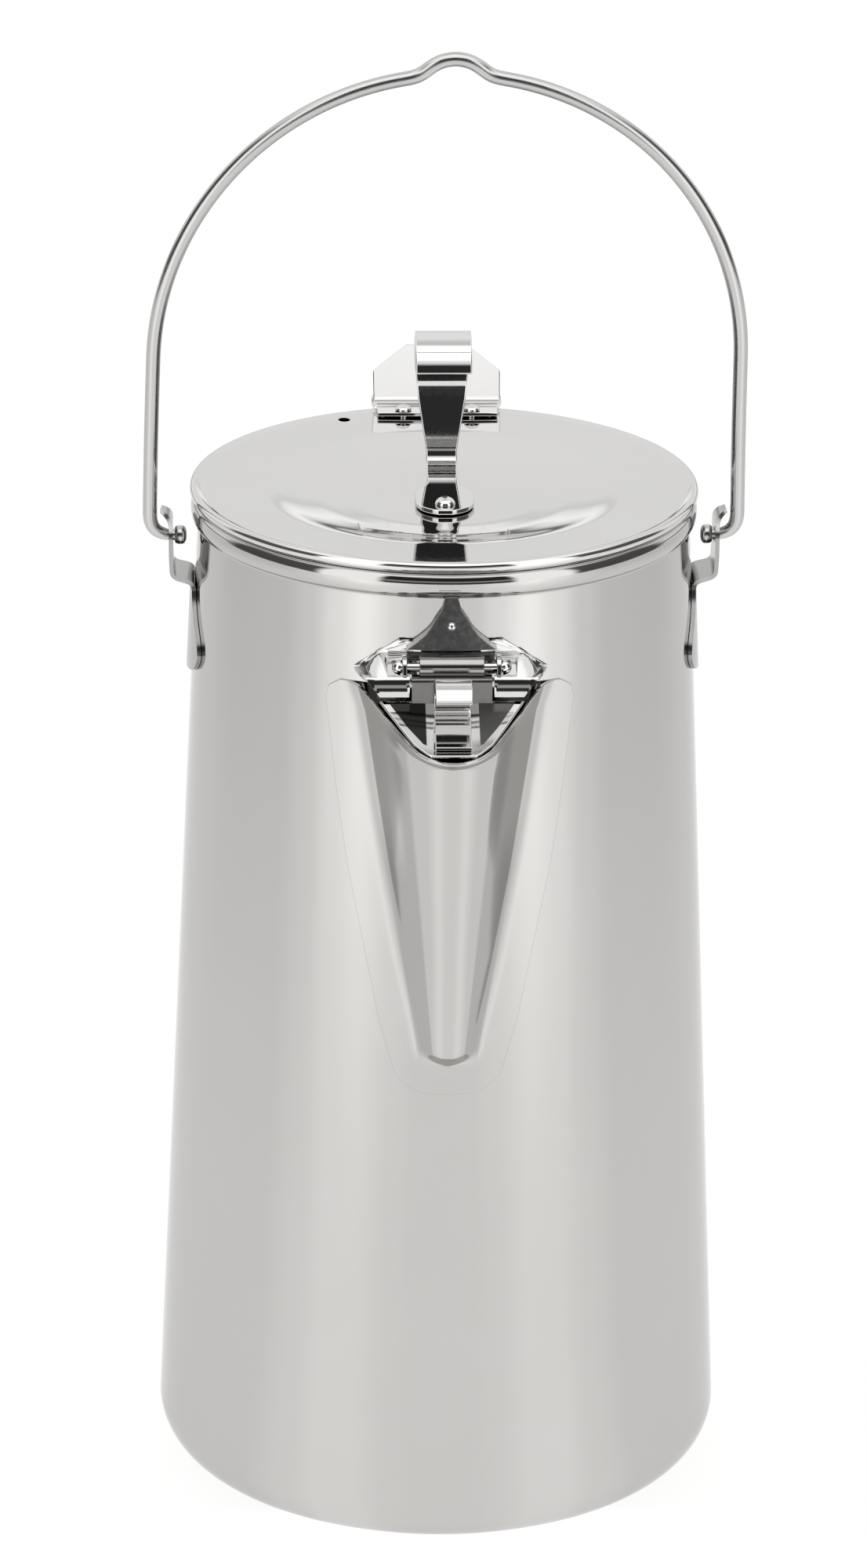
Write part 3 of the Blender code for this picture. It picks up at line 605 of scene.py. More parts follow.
def paint_spout_shade_and_highlight(m):
    """Painted shade and painted highlight on the trough: the flats are painted less bright than its nose; near the top
    the root is painted brighter.
    """
    nt = m.node_tree
    b = nt.nodes["Principled BSDF"]
    src = b.inputs["Base Color"].links[0].from_socket
    tc = nt.nodes.new("ShaderNodeTexCoord")
    sep = nt.nodes.new("ShaderNodeSeparateXYZ")
    nt.links.new(tc.outputs["Object"], sep.inputs[0])

    def op(kind, a, b2, c=None):
        n = nt.nodes.new("ShaderNodeMath")
        n.operation = kind
        for i, v in enumerate((a, b2, c)):
            if v is None:
                continue
            if isinstance(v, (int, float)):
                n.inputs[i].default_value = v
            else:
                nt.links.new(v, n.inputs[i])
        return n.outputs[0]

    def band(src2, lo, hi):
        n = nt.nodes.new("ShaderNodeMapRange")
        n.interpolation_type = "SMOOTHSTEP"
        n.inputs["From Min"].default_value = lo
        n.inputs["From Max"].default_value = hi
        nt.links.new(src2, n.inputs["Value"])
        return n.outputs[0]
    half = op("MULTIPLY_ADD", sep.outputs["Z"], 0.161, -0.01234)
    u = op("DIVIDE", op("ABSOLUTE", sep.outputs["X"], None), half)
    # painted shade: the flats of the trough darker than the nose
    inner = op("MULTIPLY", band(u, 0.50, 0.57), op("SUBTRACT", 1.0, band(u, 0.98, 1.08)))
    inner = op("MULTIPLY", inner, band(sep.outputs["Z"], 0.1125, 0.1165))
    # painted highlight: a brighter band at the root of the trough near the top
    root = op("MULTIPLY", op("MULTIPLY", band(u, 0.64, 0.76), band(sep.outputs["Z"], 0.154, 0.172)),
              op("SUBTRACT", 1.0, band(u, 0.98, 1.08)))
    k = op("MULTIPLY_ADD", inner, -0.23, op("MULTIPLY_ADD", root, 0.30, 1.0))
    mul = nt.nodes.new("ShaderNodeVectorMath")
    mul.operation = "SCALE"
    nt.links.new(src, mul.inputs[0])
    nt.links.new(k, mul.inputs["Scale"])
    nt.links.new(mul.outputs[0], b.inputs["Base Color"])


paint_spout_shade_and_highlight(M_SPOUT)
# painted dark reflection: near-black steel for the fields either side of the spout lid's tab, the right one less dark
M_FLAP_PAINTED_DARK = steel("flap_field_painted_dark_reflection", 0.035, 0.004, (0.05, 0.10), "haze", 0.10)
M_FLAP_PAINTED_DARK_R = steel("flap_field_painted_dark_reflection_right", 0.12, 0.004, (0.10, 0.30), "haze", 0.10)
M_EAR = steel("buffed_steel_ear", 0.42, 0.0, (0.16, 0.24), "haze", 0.15)
# painted dark reflection: the tongue's steel is darkened
M_TONGUE_PAINTED_DARK = steel("dull_steel_tongue_painted_dark", 0.20, 0.006, (0.12, 0.26), "haze", 0.20)
# painted dark reflection: the knuckle's steel is darkened and warmed
M_KNUCKLE_PAINTED_DARK = steel("dull_steel_knuckle_painted_dark", 0.40, 0.02, (0.10, 0.18), "along_y", 0.30)
# painted dark reflection: darker, rougher steel for the fan over the wall above the spout
M_FAN_PAINTED_DARK = steel("fan_painted_dark_reflection", 0.50, 0.004, (0.20, 0.30), "haze", 0.10)
M_WIRE = steel("drawn_wire_steel", 0.55, 0.0, (0.14, 0.22), "haze", 0.25)
M_INSIDE = steel("satin_steel_inside", 0.50, 0.006, (0.24, 0.34), "turned", 0.6)


# ================================================================ pieces
PIECES = []


def piece(name, pair, mats, body, nodes=(), sharp=40.0, bevel=0.0, seg=2, merge_d=0.0,
          bevel_angle=50.0, pick=None):
    """A closed mesh (mm) as a shown piece that rides on a body and stands for CAD nodes."""
    v, f = pair
    me = bpy.data.meshes.new(name)
    me.from_pydata([Vector(p) * MM for p in v], [], [tuple(q) for q in f])
    bm = bmesh.new()
    bm.from_mesh(me)
    if merge_d:
        bmesh.ops.remove_doubles(bm, verts=bm.verts, dist=merge_d * MM)
    bmesh.ops.recalc_face_normals(bm, faces=bm.faces)
    bm.to_mesh(me)
    bm.free()
    mats = mats if isinstance(mats, (list, tuple)) else [mats]
    for m in mats:
        me.materials.append(m)
    if pick:
        for p in me.polygons:
            p.material_index = pick(p.center / MM, p.normal)
    me.shade_smooth()
    me.set_sharp_from_angle(angle=math.radians(sharp))
    ob = bpy.data.objects.new(name, me)
    bpy.context.scene.collection.objects.link(ob)
    if bevel:
        add_bevel(ob, bevel, seg, bevel_angle)
    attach(ob, body)
    if nodes:
        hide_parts(*nodes)
    PIECES.append(ob)
    return ob


def add_bevel(ob, width, seg=2, angle=50.0):
    b = ob.modifiers.new("edge", "BEVEL")
    b.width = width * MM
    b.segments = seg
    b.limit_method = "ANGLE"
    b.angle_limit = math.radians(angle)
    b.harden_normals = False
    b.use_clamp_overlap = True
    b.miter_outer = "MITER_ARC"


def apply_mods(ob):
    dg = bpy.context.evaluated_depsgraph_get()
    me = bpy.data.meshes.new_from_object(ob.evaluated_get(dg), depsgraph=dg)
    ob.modifiers.clear()
    old = ob.data
    ob.data = me
    me.name = ob.name
    bpy.data.meshes.remove(old)


def boolean(ob, kind, pair):
    v, f = pair
    me = bpy.data.meshes.new("guide")
    me.from_pydata([Vector(p) * MM for p in v], [], [tuple(q) for q in f])
    bm = bmesh.new()
    bm.from_mesh(me)
    bmesh.ops.recalc_face_normals(bm, faces=bm.faces)
    bm.to_mesh(me)
    bm.free()
    g = bpy.data.objects.new("guide", me)
    bpy.context.scene.collection.objects.link(g)
    m = ob.modifiers.new("cut", "BOOLEAN")
    m.operation = kind
    m.solver = "EXACT"
    m.object = g
    apply_mods(ob)
    bpy.data.objects.remove(g, do_unlink=True)


# ================================================================ fine shapes
def resample(pts, n):
    P = np.array(pts, float)
    s = np.concatenate([[0], np.cumsum(np.linalg.norm(np.diff(P, axis=0), axis=1))])
    t = np.linspace(0, s[-1], n)
    return np.stack([np.interp(t, s, P[:, k]) for k in range(P.shape[1])], axis=1)


def soften(P, passes, keep_ends=True):
    """Round the corners of a dense polyline or of a grid's rows."""
    P = np.array(P, float)
    for _ in range(passes):
        Q = P.copy()
        Q[1:-1] = 0.25 * P[:-2] + 0.5 * P[1:-1] + 0.25 * P[2:]
        P = Q
    return P


def rail_grid(rows, n, passes):
    """Dense rows between a few given rows, with softened corners."""
    R = np.array([[tuple(p) for p in r] for r in rows], float)
    mid = R[:, R.shape[1] // 2]
    s = np.concatenate([[0], np.cumsum(np.linalg.norm(np.diff(mid, axis=0), axis=1))])
    t = np.linspace(0, s[-1], n)
    out = np.zeros((n, R.shape[1], 3))
    for j in range(R.shape[1]):
        for k in range(3):
            out[:, j, k] = np.interp(t, s, R[:, j, k])
    return soften(out, passes)


def even_tube(path, radii, sides, n, passes):
    P = np.column_stack([np.array(path, float), np.array(radii, float)])
    s = np.concatenate([[0], np.cumsum(np.linalg.norm(np.diff(P[:, :3], axis=0), axis=1))])
    t = np.linspace(0, s[-1], n)
    Q = np.stack([np.interp(t, s, P[:, k]) for k in range(4)], axis=1)
    Q = soften(Q, passes)
    return tube([Vector(p[:3]) for p in Q], [float(r) for r in Q[:, 3]], sides)


def fine_strap(path, widths, thick, n, passes, cols=2):
    P = np.column_stack([np.array(path, float), np.array(widths, float)])
    s = np.concatenate([[0], np.cumsum(np.linalg.norm(np.diff(P[:, :2], axis=0), axis=1))])
    t = np.linspace(0, s[-1], n)
    Q = soften(np.stack([np.interp(t, s, P[:, k]) for k in range(3)], axis=1), passes)
    return strap([(p[0], p[1]) for p in Q], list(Q[:, 2]), thick, cols=cols)


# ---------------------------------------------------------------- pot
def build_pot():
    prof = pot_profile(28, 18)
    # the rolled rim as a taller, softly rounded bead
    k0 = [i for i, (r, z) in enumerate(prof) if z > 217.2][0]
    k1 = k0 + 19
    bead = [(r_wall(213.6), 213.6), (r_wall(214.3), 214.3), (r_wall(214.7), 214.7), (r_wall(214.95), 214.95)]
    for i in range(31):
        a = lerp(math.radians(-76), math.pi / 2, i / 30)
        c, d = math.cos(a), math.sin(a)
        bead.append((RIM_R - 1.35 + 1.35 * c ** 0.9, RIM_Z - 2.45 + 2.45 * d))
    prof = prof[:k0] + bead + prof[k1 + 1:]
    v, f = lathe(prof, 288)

    def pick(c, n):
        rad = Vector((c.x, c.y, 0))
        inward = rad.length > 0.5 and n.x * c.x + n.y * c.y < -0.2 * rad.length and c.z < 219.6
        floor = n.z > 0.3 and c.z < 30
        return 1 if (inward or floor) else 0
    ob = piece("pot_shell", (v, f), [M_BODY, M_INSIDE], "pot", ["body_shell"], sharp=60, pick=pick)
    cut = merge(*[rod((x, -60, z), (x, -46, z), 2.6, 40) for x, z in strainer_holes()])
    boolean(ob, "DIFFERENCE", cut)


# ---------------------------------------------------------------- spout
SHEET_OFF = 0.62          # outer face of a welded sheet over the wall


def spout_section(z, k_fl=5, k_fi=8, k_si=14, k_no=20):
    F = spout_flange(z)
    T = min(spout_half(z), F - 0.8)
    D = SP_DEPTH * (z - SP_BOT) / (SP_TOP - SP_BOT) * smooth((z - 111.4) / 4.5) if z > 112.0 else 0.0
    D = max(D, 0.0)
    rn = max(min(spout_nose(z), 0.8 * T), 1e-4)
    if D < 0.02:
        Q, a = (T * 0.4, 0.0), math.pi
    else:
        L = math.hypot(T, D - rn)
        a = math.atan2(D - rn, -T) - math.asin(min(rn / L, 0.999))
        q = math.sqrt(max(L * L - rn * rn, 0.0))
        Q = (T + q * math.cos(a), q * math.sin(a))
    pq = math.hypot(Q[0] - T, Q[1])
    ell = min(2.0, 0.4 * pq, F - T - 0.3)
    A, B = (T + ell, 0.0), (T + ell * math.cos(a), ell * math.sin(a))
    out = [(lerp(F, A[0], i / k_fl), 0.0) for i in range(k_fl)]
    for i in range(k_fi):
        t = i / k_fi
        out.append(((1 - t) ** 2 * A[0] + 2 * t * (1 - t) * T + t * t * B[0], t * t * B[1]))
    for i in range(k_si):
        t = i / k_si
        out.append((lerp(B[0], Q[0], t), lerp(B[1], Q[1], t)))
    if D < 0.02:
        out += [(lerp(Q[0], 0.0, i / k_no), 0.0) for i in range(k_no + 1)]
    else:
        a0 = math.atan2(Q[1] - (D - rn), Q[0])
        for i in range(k_no + 1):
            b = lerp(a0, math.pi / 2, i / k_no)
            out.append((rn * math.cos(b), D - rn + rn * math.sin(b)))
        out[-1] = (0.0, D)
    return out


def spout_fine():
    zs = list(np.linspace(106.0, 111.0, 10)[:-1]) + list(np.linspace(111.0, 124.0, 36)[:-1]) \
        + list(np.linspace(124.0, 191.0, 44)[:-1]) + list(np.linspace(191.0, SP_TOP, 20))
    G = []
    for z in zs:
        half = spout_section(z)
        pts = half + [(-x, d) for x, d in reversed(half[:-1])]
        top = smooth((z - 150.0) / (SP_TOP - 150.0))
        flare = smooth((z - (SP_TOP - 3.2)) / 3.2) ** 1.5
        row = []
        for x, d in pts:
            dd = d
            if flare > 0 and d > 0:
                dd = d + 1.35 * flare * max(0.0, min(1.0, (d - 5.0) / 8.0))
            r = r_wall(z) + SHEET_OFF
            row.append((x, -math.sqrt(r * r - x * x) - dd, z - SP_DIP * d * top))
        G.append(row)
    # soften along the height below the mouth only, so that the closing end is smooth
    A = np.array(G, float)
    B = soften(A, 6)
    k = 60
    w = np.clip((k - np.arange(len(zs))) / 12.0, 0, 1)[:, None, None]
    A = A * (1 - w) + B * w
    return sheet([[tuple(p) for p in r] for r in A], 0.6)


def build_spout():
    piece("spout_trough", spout_fine(), M_SPOUT, "pot", ["spout"], sharp=55, bevel=0.18, seg=2, bevel_angle=60)


# ---------------------------------------------------------------- bail and ears
def ear_fine(side):
    g = ear_grid(1, 13)
    R = np.array([[tuple(p) for p in r] for r in g], float)
    # crisper step: the strip stays on the wall a little higher, then turns out nearly level
    R = np.insert(R, 8, R[7], axis=0)
    R[7, :, 2], R[8, :, 2] = 200.9, 202.0
    R[9, :, 0], R[9, :, 2] = EAR_X - 1.2, 202.7
    R[10, :, 0], R[10, :, 2] = EAR_X + 0.25, 203.6
    # weld pad close on the wall
    for i in range(9):
        for j in range(R.shape[1]):
            y, z = R[i, j, 1], R[i, j, 2]
            r = r_wall(z) + GAP * 0.4 + EAR_T
            R[i, j, 0] = math.sqrt(r * r - y * y)
    # parallel sides up to the wire hole, then the top narrows to a small hook over the wire
    k = [i for i in range(R.shape[0]) if R[i, 0, 2] > 214.9][0]
    R = np.insert(R, k, R[k - 1], axis=0)
    R[k, :, 2] = 213.2
    R[k:, :, 1] *= np.array([interp(z, ((213.2, 1.0), (215.0, 0.72), (216.0, 0.42), (216.5, 0.40))) for z in R[k:, 0, 2]])[:, None]
    A = rail_grid(R, 120, 12)
    rows = []
    for r in A:
        row = [(side * p[0], p[1], p[2]) for p in r]
        rows.append(row if side > 0 else row[::-1])
    return sheet(rows, EAR_T)


def build_bail():
    for name, side in (("ear_left", -1), ("ear_right", 1)):
        ob = piece("bail_" + name + "_plate", ear_fine(side), M_EAR, "pot", ["bail_" + name], sharp=50)
        boolean(ob, "DIFFERENCE", rod((side * 50, 0, PIVOT_Z), (side * 66, 0, PIVOT_Z), 1.6, 36))
        ob.data.shade_smooth()
        ob.data.set_sharp_from_angle(angle=math.radians(50))
        add_bevel(ob, 0.16, 2, 60)
    path, radii = bail_path(n_arch=90, n_bend=14, n_leg=10)
    P = np.column_stack([np.array(path), np.array(radii)])
    # split off the two headed ends, which stay crisp
    v, f = bail_fine(P)
    piece("bail_wire", (v, f), M_WIRE, "bail", ["bail_handle"], sharp=48)


def bail_fine(P):
    """Even steps along the wire between the ends; the ends keep their own steps."""
    x = np.abs(P[:, 0])
    s_end = [i for i in range(len(P)) if x[i] <= 58.9 and abs(P[i, 2] - PIVOT_Z) < 0.01]
    lo = max(i for i in s_end if i < len(P) // 2)
    hi = min(i for i in s_end if i > len(P) // 2)
    mid = P[lo:hi + 1]
    s = np.concatenate([[0], np.cumsum(np.linalg.norm(np.diff(mid[:, :3], axis=0), axis=1))])
    t = np.linspace(0, s[-1], 420)
    Q = np.stack([np.interp(t, s, mid[:, k]) for k in range(4)], axis=1)
    Q = soften(Q, 10)
    full = np.vstack([P[:lo], Q, P[hi + 1:]])
    # a used wire: the arch has settled a little to one side
    up = np.clip((full[:, 2] - PIVOT_Z - 12.0) / 92.0, 0.0, 1.0)
    full[:, 0] += 1.15 * up * up * (3 - 2 * up)
    full[:, 3] *= np.where(full[:, 2] > PIVOT_Z + 0.5, 0.965, 1.0)
    return tube([Vector(p[:3]) for p in full], [float(r) for r in full[:, 3]], 28)


# ---------------------------------------------------------------- lid
def lid_fine_profile():
    """Shallow bowl with a soft corner where the flat ring begins."""
    r = np.linspace(0, 52.6, 264)
    z = np.array([lid_top(float(a)) for a in r])
    k = 15
    pad = np.concatenate([np.full(k, z[0]), z, np.full(k, z[-1])])
    wide = np.convolve(pad, np.hanning(2 * k + 3)[1:-1] / np.hanning(2 * k + 3)[1:-1].sum(), mode="same")[k:-k]
    m = 7
    pad = np.concatenate([np.full(m, z[0]), z, np.full(m, z[-1])])
    tight = np.convolve(pad, np.hanning(2 * m + 3)[1:-1] / np.hanning(2 * m + 3)[1:-1].sum(), mode="same")[m:-m]
    w = np.clip((r - 33.0) / 3.0, 0.0, 1.0)
    z2 = wide * (1 - w) + tight * w
    w = np.clip((r - 49.0) / 2.0, 0.0, 1.0)
    z2 = z2 * (1 - w) + z * w
    return [(float(a), float(b)) for a, b in zip(r, z2)]


def build_lid():
    top = lid_fine_profile()
    top = [p for i, p in enumerate(top) if p[0] < 1e-6 or p[0] > 12.0]
    cr = 1.15
    z52 = top[-1][1]
    edge = [(LID_R - cr + cr * math.cos(a), LID_TOP - cr + cr * math.sin(a))
            for a in (lerp(math.pi / 2 + 0.2, -0.95, i / 22) for i in range(23))]
    zb = RIM_Z + GAP
    under = [(LID_R - 0.75, zb), (SKIRT_R + 0.5, zb), (SKIRT_R + 0.12, zb - 0.12), (SKIRT_R, zb - 0.5), (SKIRT_R, SKIRT_Z + 0.3),
             (SKIRT_R - 0.2, SKIRT_Z), (SKIRT_R - LID_T + 0.2, SKIRT_Z), (SKIRT_R - LID_T, SKIRT_Z + 0.3),
             (SKIRT_R - LID_T, lid_top(50) - 1.0)]
    low = [(r, z - LID_T) for r, z in top if r < 49.0][::-1]
    prof = top + edge + under + low
    ob = piece("lid_dish", lathe(prof, 288), M_LID, "lid", ["lid"], sharp=50)
    cuts = merge(rod((-20.5, 45.0, 212), (-20.5, 45.0, 230), 1.3, 32),
                 rod((0, KNOB_RIVET_Y, 212), (0, KNOB_RIVET_Y, 230), 1.5, 32),
                 rod((RIVET_X, RIVET_Y, 212), (RIVET_X, RIVET_Y, 230), 1.2, 32),
                 rod((-RIVET_X, RIVET_Y, 212), (-RIVET_X, RIVET_Y, 230), 1.2, 32))
    boolean(ob, "DIFFERENCE", cuts)

    pts, ws = knob_path(30)
    v, f = fine_strap(pts, ws, KNOB_T, 200, 4)
    piece("knob_strap", (v, f), M_SHEET, "lid", ["lid_knob"], sharp=50, bevel=0.28, seg=3, bevel_angle=60)
    top_z = DISH_Z + GAP + KNOB_T + 0.05
    under_z = DISH_Z - LID_T
    piece("knob_rivet", lathe(rivet_profile(2.15, 1.6, 1.15, top_z, under_z - 1.2, 2.5, 0.9, 12), 48, (0, KNOB_RIVET_Y)),
          M_SHEET, "lid", ["lid_knob_rivet"], sharp=40)
    w0, w1 = under_z - 0.95, under_z - 0.15
    piece("knob_washer", lathe([(1.5, w0), (4.2, w0), (4.2, w1), (1.5, w1)], 64, (0, KNOB_RIVET_Y)), M_SHEET, "lid",
          ["lid_knob_washer"], sharp=40, bevel=0.1)
    for name, sx in (("left", -1), ("right", 1)):
        zt = leaf_under(RIVET_Y + 1.8) + 0.9 + 0.12
        v, f = lathe(rivet_profile(1.8, 1.15, 1.0, zt, lid_top(48.2) - LID_T - 0.35, 1.5, 0.7, 10), 40, (sx * RIVET_X, RIVET_Y))
        piece("hinge_rivet_" + name, (v, f), M_SHEET, "lid", ["lid_hinge_rivet_" + name], sharp=40)


# ---------------------------------------------------------------- lid hinge
def fine_pin(cy, cz, hw, h_head, r_head):
    place = Matrix.Translation((0, cy, cz)) @ Matrix.Rotation(math.pi / 2, 4, "Y")
    def dome(sgn):
        out = []
        for i in range(9):
            a = math.pi / 2 * i / 8
            out.append((r_head * math.sin(a), sgn * (hw - h_head + (h_head) * math.cos(a))))
        return out
    lo = dome(-1)
    hi = dome(1)[::-1]
    prof = lo + [(PIN_R, -hw + h_head), (PIN_R, hw - h_head)] + hi
    return turned(prof, 40, place)


def build_lid_hinge():
    pts, wd = leaf_path(14)
    v, f = fine_strap(pts, wd, 0.9, 90, 2)
    brl = barrel(HINGE_Y, HINGE_Z, 2.2, PIN_HOLE, 11.4, 48)
    piece("lid_hinge_leaf_plate", merge((v, f), brl, prism(leaf_web(), -11.2, 11.2, "x")), M_SHEET, "lid", ["lid_hinge_leaf"], sharp=45, bevel=0.2, seg=2, bevel_angle=60)
    piece("lid_hinge_pin_bar", fine_pin(HINGE_Y, HINGE_Z, 14.4, 0.9, 1.7), M_SHEET, "pot", ["lid_hinge_pin"], sharp=40)
    grid = []
    for z, hw in ((193.0, 9.0), (193.5, 10.6), (194.6, 12.2), (196.2, 13.1), (198.0, 13.2), (205.0, 13.2), (213.2, 13.2)):
        r = r_wall(z) + 0.12 + 0.9
        grid.append([(x, math.sqrt(r * r - x * x), z) for x in (lerp(-hw, hw, j / 24) for j in range(25))])
    ear = [(51.6, 198.0), (53.4, 198.0), (60.0, 217.0)] + arc(HINGE_Y, HINGE_Z, 2.6, -5, 185, 24) \
        + [(54.4, 218.0), (53.5, 215.6), (51.6, 213.0)]
    ears = [prism(ear, sx * 12.0, sx * 13.1, "x") for sx in (-1, 1)]
    piece("lid_hinge_bracket_plate", merge(sheet(grid, 0.9), *ears), M_SHEET, "pot", ["lid_hinge_bracket"],
          sharp=45, bevel=0.18, seg=2, bevel_angle=60)


# ---------------------------------------------------------------- spout hinge and lid
def build_spout_hinge():
    v, f = sheet(shelf_grid(41), 0.8)
    ob = piece("spout_shelf", (v, f), M_SHEET, "pot", ["spout_hinge_bracket"], sharp=50)
    boolean(ob, "DIFFERENCE", prism([(-8.75, -70), (8.75, -70), (8.75, -54.95), (-8.75, -54.95)], 190, 210))
    boolean(ob, "DIFFERENCE", prism([(-13.3, -59.55), (13.3, -59.55), (13.3, -55.45), (-13.3, -55.45)], 190, 210))
    add_bevel(ob, 0.15, 2, 55)
    lug = [(-54.8, 203.5), (-54.8, 201.2), (-57.5, 199.0), (-60.5, 199.0), (-60.5, 200.0), (-60.2, 201.3)] \
        + arc(SP_PIN_Y, SP_PIN_Z, 2.3, 150, 40, 20)
    lugs = merge(*[prism(lug, sx * 9.25, sx * 10.25, "x") for sx in (-1, 1)])
    v, f = upstand(41)
    piece("spout_shelf_fan", (v, f), M_FAN_PAINTED_DARK, "pot", [], sharp=40, bevel=0.12, seg=2, bevel_angle=60)
    dome = [(0.0, 1.15)] + [(0.85 * math.sin(a), 0.55 + 0.6 * math.cos(a)) for a in (lerp(0.15, math.pi / 2, i / 8) for i in range(9))] \
        + [(0.85, 0.0), (0.0, 0.0)]
    dome = dome[::-1]
    place = Matrix.Translation((0, -55.0, 209.6)) @ Matrix.Rotation(math.radians(90 - 18.7), 4, "X")
    piece("spout_shelf_weld_dot", turned(dome, 28, place), M_SHEET, "pot", [], sharp=40)
    piece("spout_shelf_lugs", lugs, M_SHEET, "pot", [], sharp=40, bevel=0.15, seg=2)
    piece("spout_hinge_pin_bar", fine_pin(SP_PIN_Y, SP_PIN_Z, 12.4, 1.8, 1.6), M_SHEET, "pot", ["spout_hinge_pin"], sharp=40)


def build_spout_lid():
    ys = (-60.4, -68.0, -73.0, -75.6, -76.5)
    plate = fine_strap([(y, flap_plate_top(y)) for y in ys], [30.0, 22.0, 16.4, 11.6, 9.2], 0.8, 60, 0, cols=9)
    path = tongue_path()
    tongue = fine_strap(path, [16.6] * len(path), 0.8, 60, 4, cols=3)
    knuckle = barrel(SP_PIN_Y, SP_PIN_Z, 2.35, PIN_HOLE, 6.7, 48)
    piece("spout_lid_plate", plate, M_SHEET, "spout_lid", ["spout_lid"], sharp=45, bevel=0.33, seg=3, bevel_angle=60)
    piece("spout_lid_tongue", tongue, M_TONGUE_PAINTED_DARK, "spout_lid", [], sharp=45, bevel=0.16, seg=2, bevel_angle=60)
    piece("spout_lid_knuckle", knuckle, M_KNUCKLE_PAINTED_DARK, "spout_lid", [], sharp=45, bevel=0.12, seg=2, bevel_angle=60)
    # painted dark reflection: dark fields either side of the tab, inside a plain bright border
    for name, sx in (("left", -1), ("right", 1)):
        outer = [(sx * 5.5, -61.2), (sx * 13.0, -61.2), (sx * 9.4, -68.0), (sx * 6.2, -72.9), (sx * 5.5, -73.3)]
        if sx < 0:
            outer = outer[::-1]
        n = len(outer)
        verts = [(x, y, flap_plate_top(y) + dz) for dz in (-0.3, 0.10) for x, y in outer]
        faces = [tuple(range(n))[::-1], tuple(range(n, 2 * n))] + [(i, (i + 1) % n, n + (i + 1) % n, n + i) for i in range(n)]
        piece("spout_lid_painted_dark_field_" + name, (verts, faces), M_FLAP_PAINTED_DARK if sx < 0 else M_FLAP_PAINTED_DARK_R, "spout_lid", [], sharp=40, bevel=0.05, seg=2, bevel_angle=50)
    pts = tab_path(30)
    v, f = fine_strap(pts, [7.5] * len(pts), 0.8, 220, 3)
    piece("spout_lid_tab_strap", (v, f), M_SHEET, "spout_lid", ["spout_lid_tab"], sharp=50, bevel=0.2, seg=3, bevel_angle=60)


build_pot()
build_spout()
build_bail()
build_lid()
build_lid_hinge()
build_spout_hinge()
build_spout_lid()


# ================================================================ stage, light, camera
# levels of the floor's painted light against azimuth, near the kettle and far from it
AZ_NEAR = ((0, 1.06), (12, 1.06), (22, 1.09), (38, 1.19), (50, 1.19), (62, 1.09), (80, 0.99), (180, 1.02))
AZ_FAR = ((0, 0.98), (12, 1.02), (22, 1.25), (38, 1.60), (52, 1.32), (65, 1.00), (80, 0.84), (110, 0.80), (140, 0.92),
          (165, 1.03), (180, 1.03))


def math_node(nt, op, a, b=None):
    n = nt.nodes.new("ShaderNodeMath")
    n.operation = op
    for i, v in enumerate((a, b)):
        if v is None:
            continue
        if isinstance(v, (int, float)):
            n.inputs[i].default_value = v
        else:
            nt.links.new(v, n.inputs[i])
    return n.outputs[0]


def azimuth(nt, sep):
    """0 towards the spout's side, 1 towards the hinge's side, the same left and right."""
    ang = math_node(nt, "ARCTAN2", sep.outputs["X"], math_node(nt, "MULTIPLY", sep.outputs["Y"], -1.0))
    return math_node(nt, "DIVIDE", math_node(nt, "ABSOLUTE", ang), math.pi)


def level_ramp(nt, src, stops, top=2.0):
    r = nt.nodes.new("ShaderNodeValToRGB")
    r.color_ramp.interpolation = "EASE"
    el = r.color_ramp.elements
    while len(el) > 1:
        el.remove(el[-1])
    for i, (deg, v) in enumerate(stops):
        e = el[0] if i == 0 else el.new(deg / 180.0)
        e.position = deg / 180.0
        e.color = (v / top, v / top, v / top * 0.995, 1)
    nt.links.new(src, r.inputs["Fac"])
    return r.outputs["Color"]


def smooth_range(nt, src, lo, hi):
    n = nt.nodes.new("ShaderNodeMapRange")
    n.interpolation_type = "SMOOTHSTEP"
    n.inputs["From Min"].default_value = lo
    n.inputs["From Max"].default_value = hi
    nt.links.new(src, n.inputs["Value"])
    return n.outputs[0]


def mix_colour(nt, fac, a, b):
    n = nt.nodes.new("ShaderNodeMixRGB")
    nt.links.new(fac, n.inputs["Fac"])
    for k, v in (("Color1", a), ("Color2", b)):
        if isinstance(v, tuple):
            n.inputs[k].default_value = v
        else:
            nt.links.new(v, n.inputs[k])
    return n.outputs[0]


def floor_plane():
    """Pale table: evenly white, with painted light a little brighter in two soft fans in front of the kettle."""
    me = bpy.data.meshes.new("floor")
    s = 8.0
    me.from_pydata([(-s, -s, 0), (s, -s, 0), (s, s, 0), (-s, s, 0)], [], [(0, 1, 2, 3)])
    ob = bpy.data.objects.new("floor", me)
    ob.location.z = -0.0002
    bpy.context.scene.collection.objects.link(ob)
    m = bpy.data.materials.new("floor_white")
    m.use_nodes = True
    nt = m.node_tree
    b = nt.nodes["Principled BSDF"]
    b.inputs["Roughness"].default_value = 0.9
    b.inputs["Specular IOR Level"].default_value = 0.0
    b.inputs["Base Color"].default_value = (0.12, 0.12, 0.12, 1)
    tc = nt.nodes.new("ShaderNodeTexCoord")
    mv = nt.nodes.new("ShaderNodeVectorMath")
    mv.operation = "ADD"
    mv.inputs[1].default_value = (0.0, 0.030, 0.0)
    nt.links.new(tc.outputs["Object"], mv.inputs[0])
    sep = nt.nodes.new("ShaderNodeSeparateXYZ")
    nt.links.new(mv.outputs[0], sep.inputs[0])
    az = azimuth(nt, sep)
    ln = nt.nodes.new("ShaderNodeVectorMath")
    ln.operation = "LENGTH"
    nt.links.new(tc.outputs["Object"], ln.inputs[0])
    far = smooth_range(nt, ln.outputs["Value"], 0.15, 0.85)
    col = mix_colour(nt, far, level_ramp(nt, az, AZ_NEAR), level_ramp(nt, az, AZ_FAR))
    nt.links.new(col, b.inputs["Emission Color"])
    b.inputs["Emission Strength"].default_value = 2.0 * 0.92
    me.materials.append(m)
    return ob


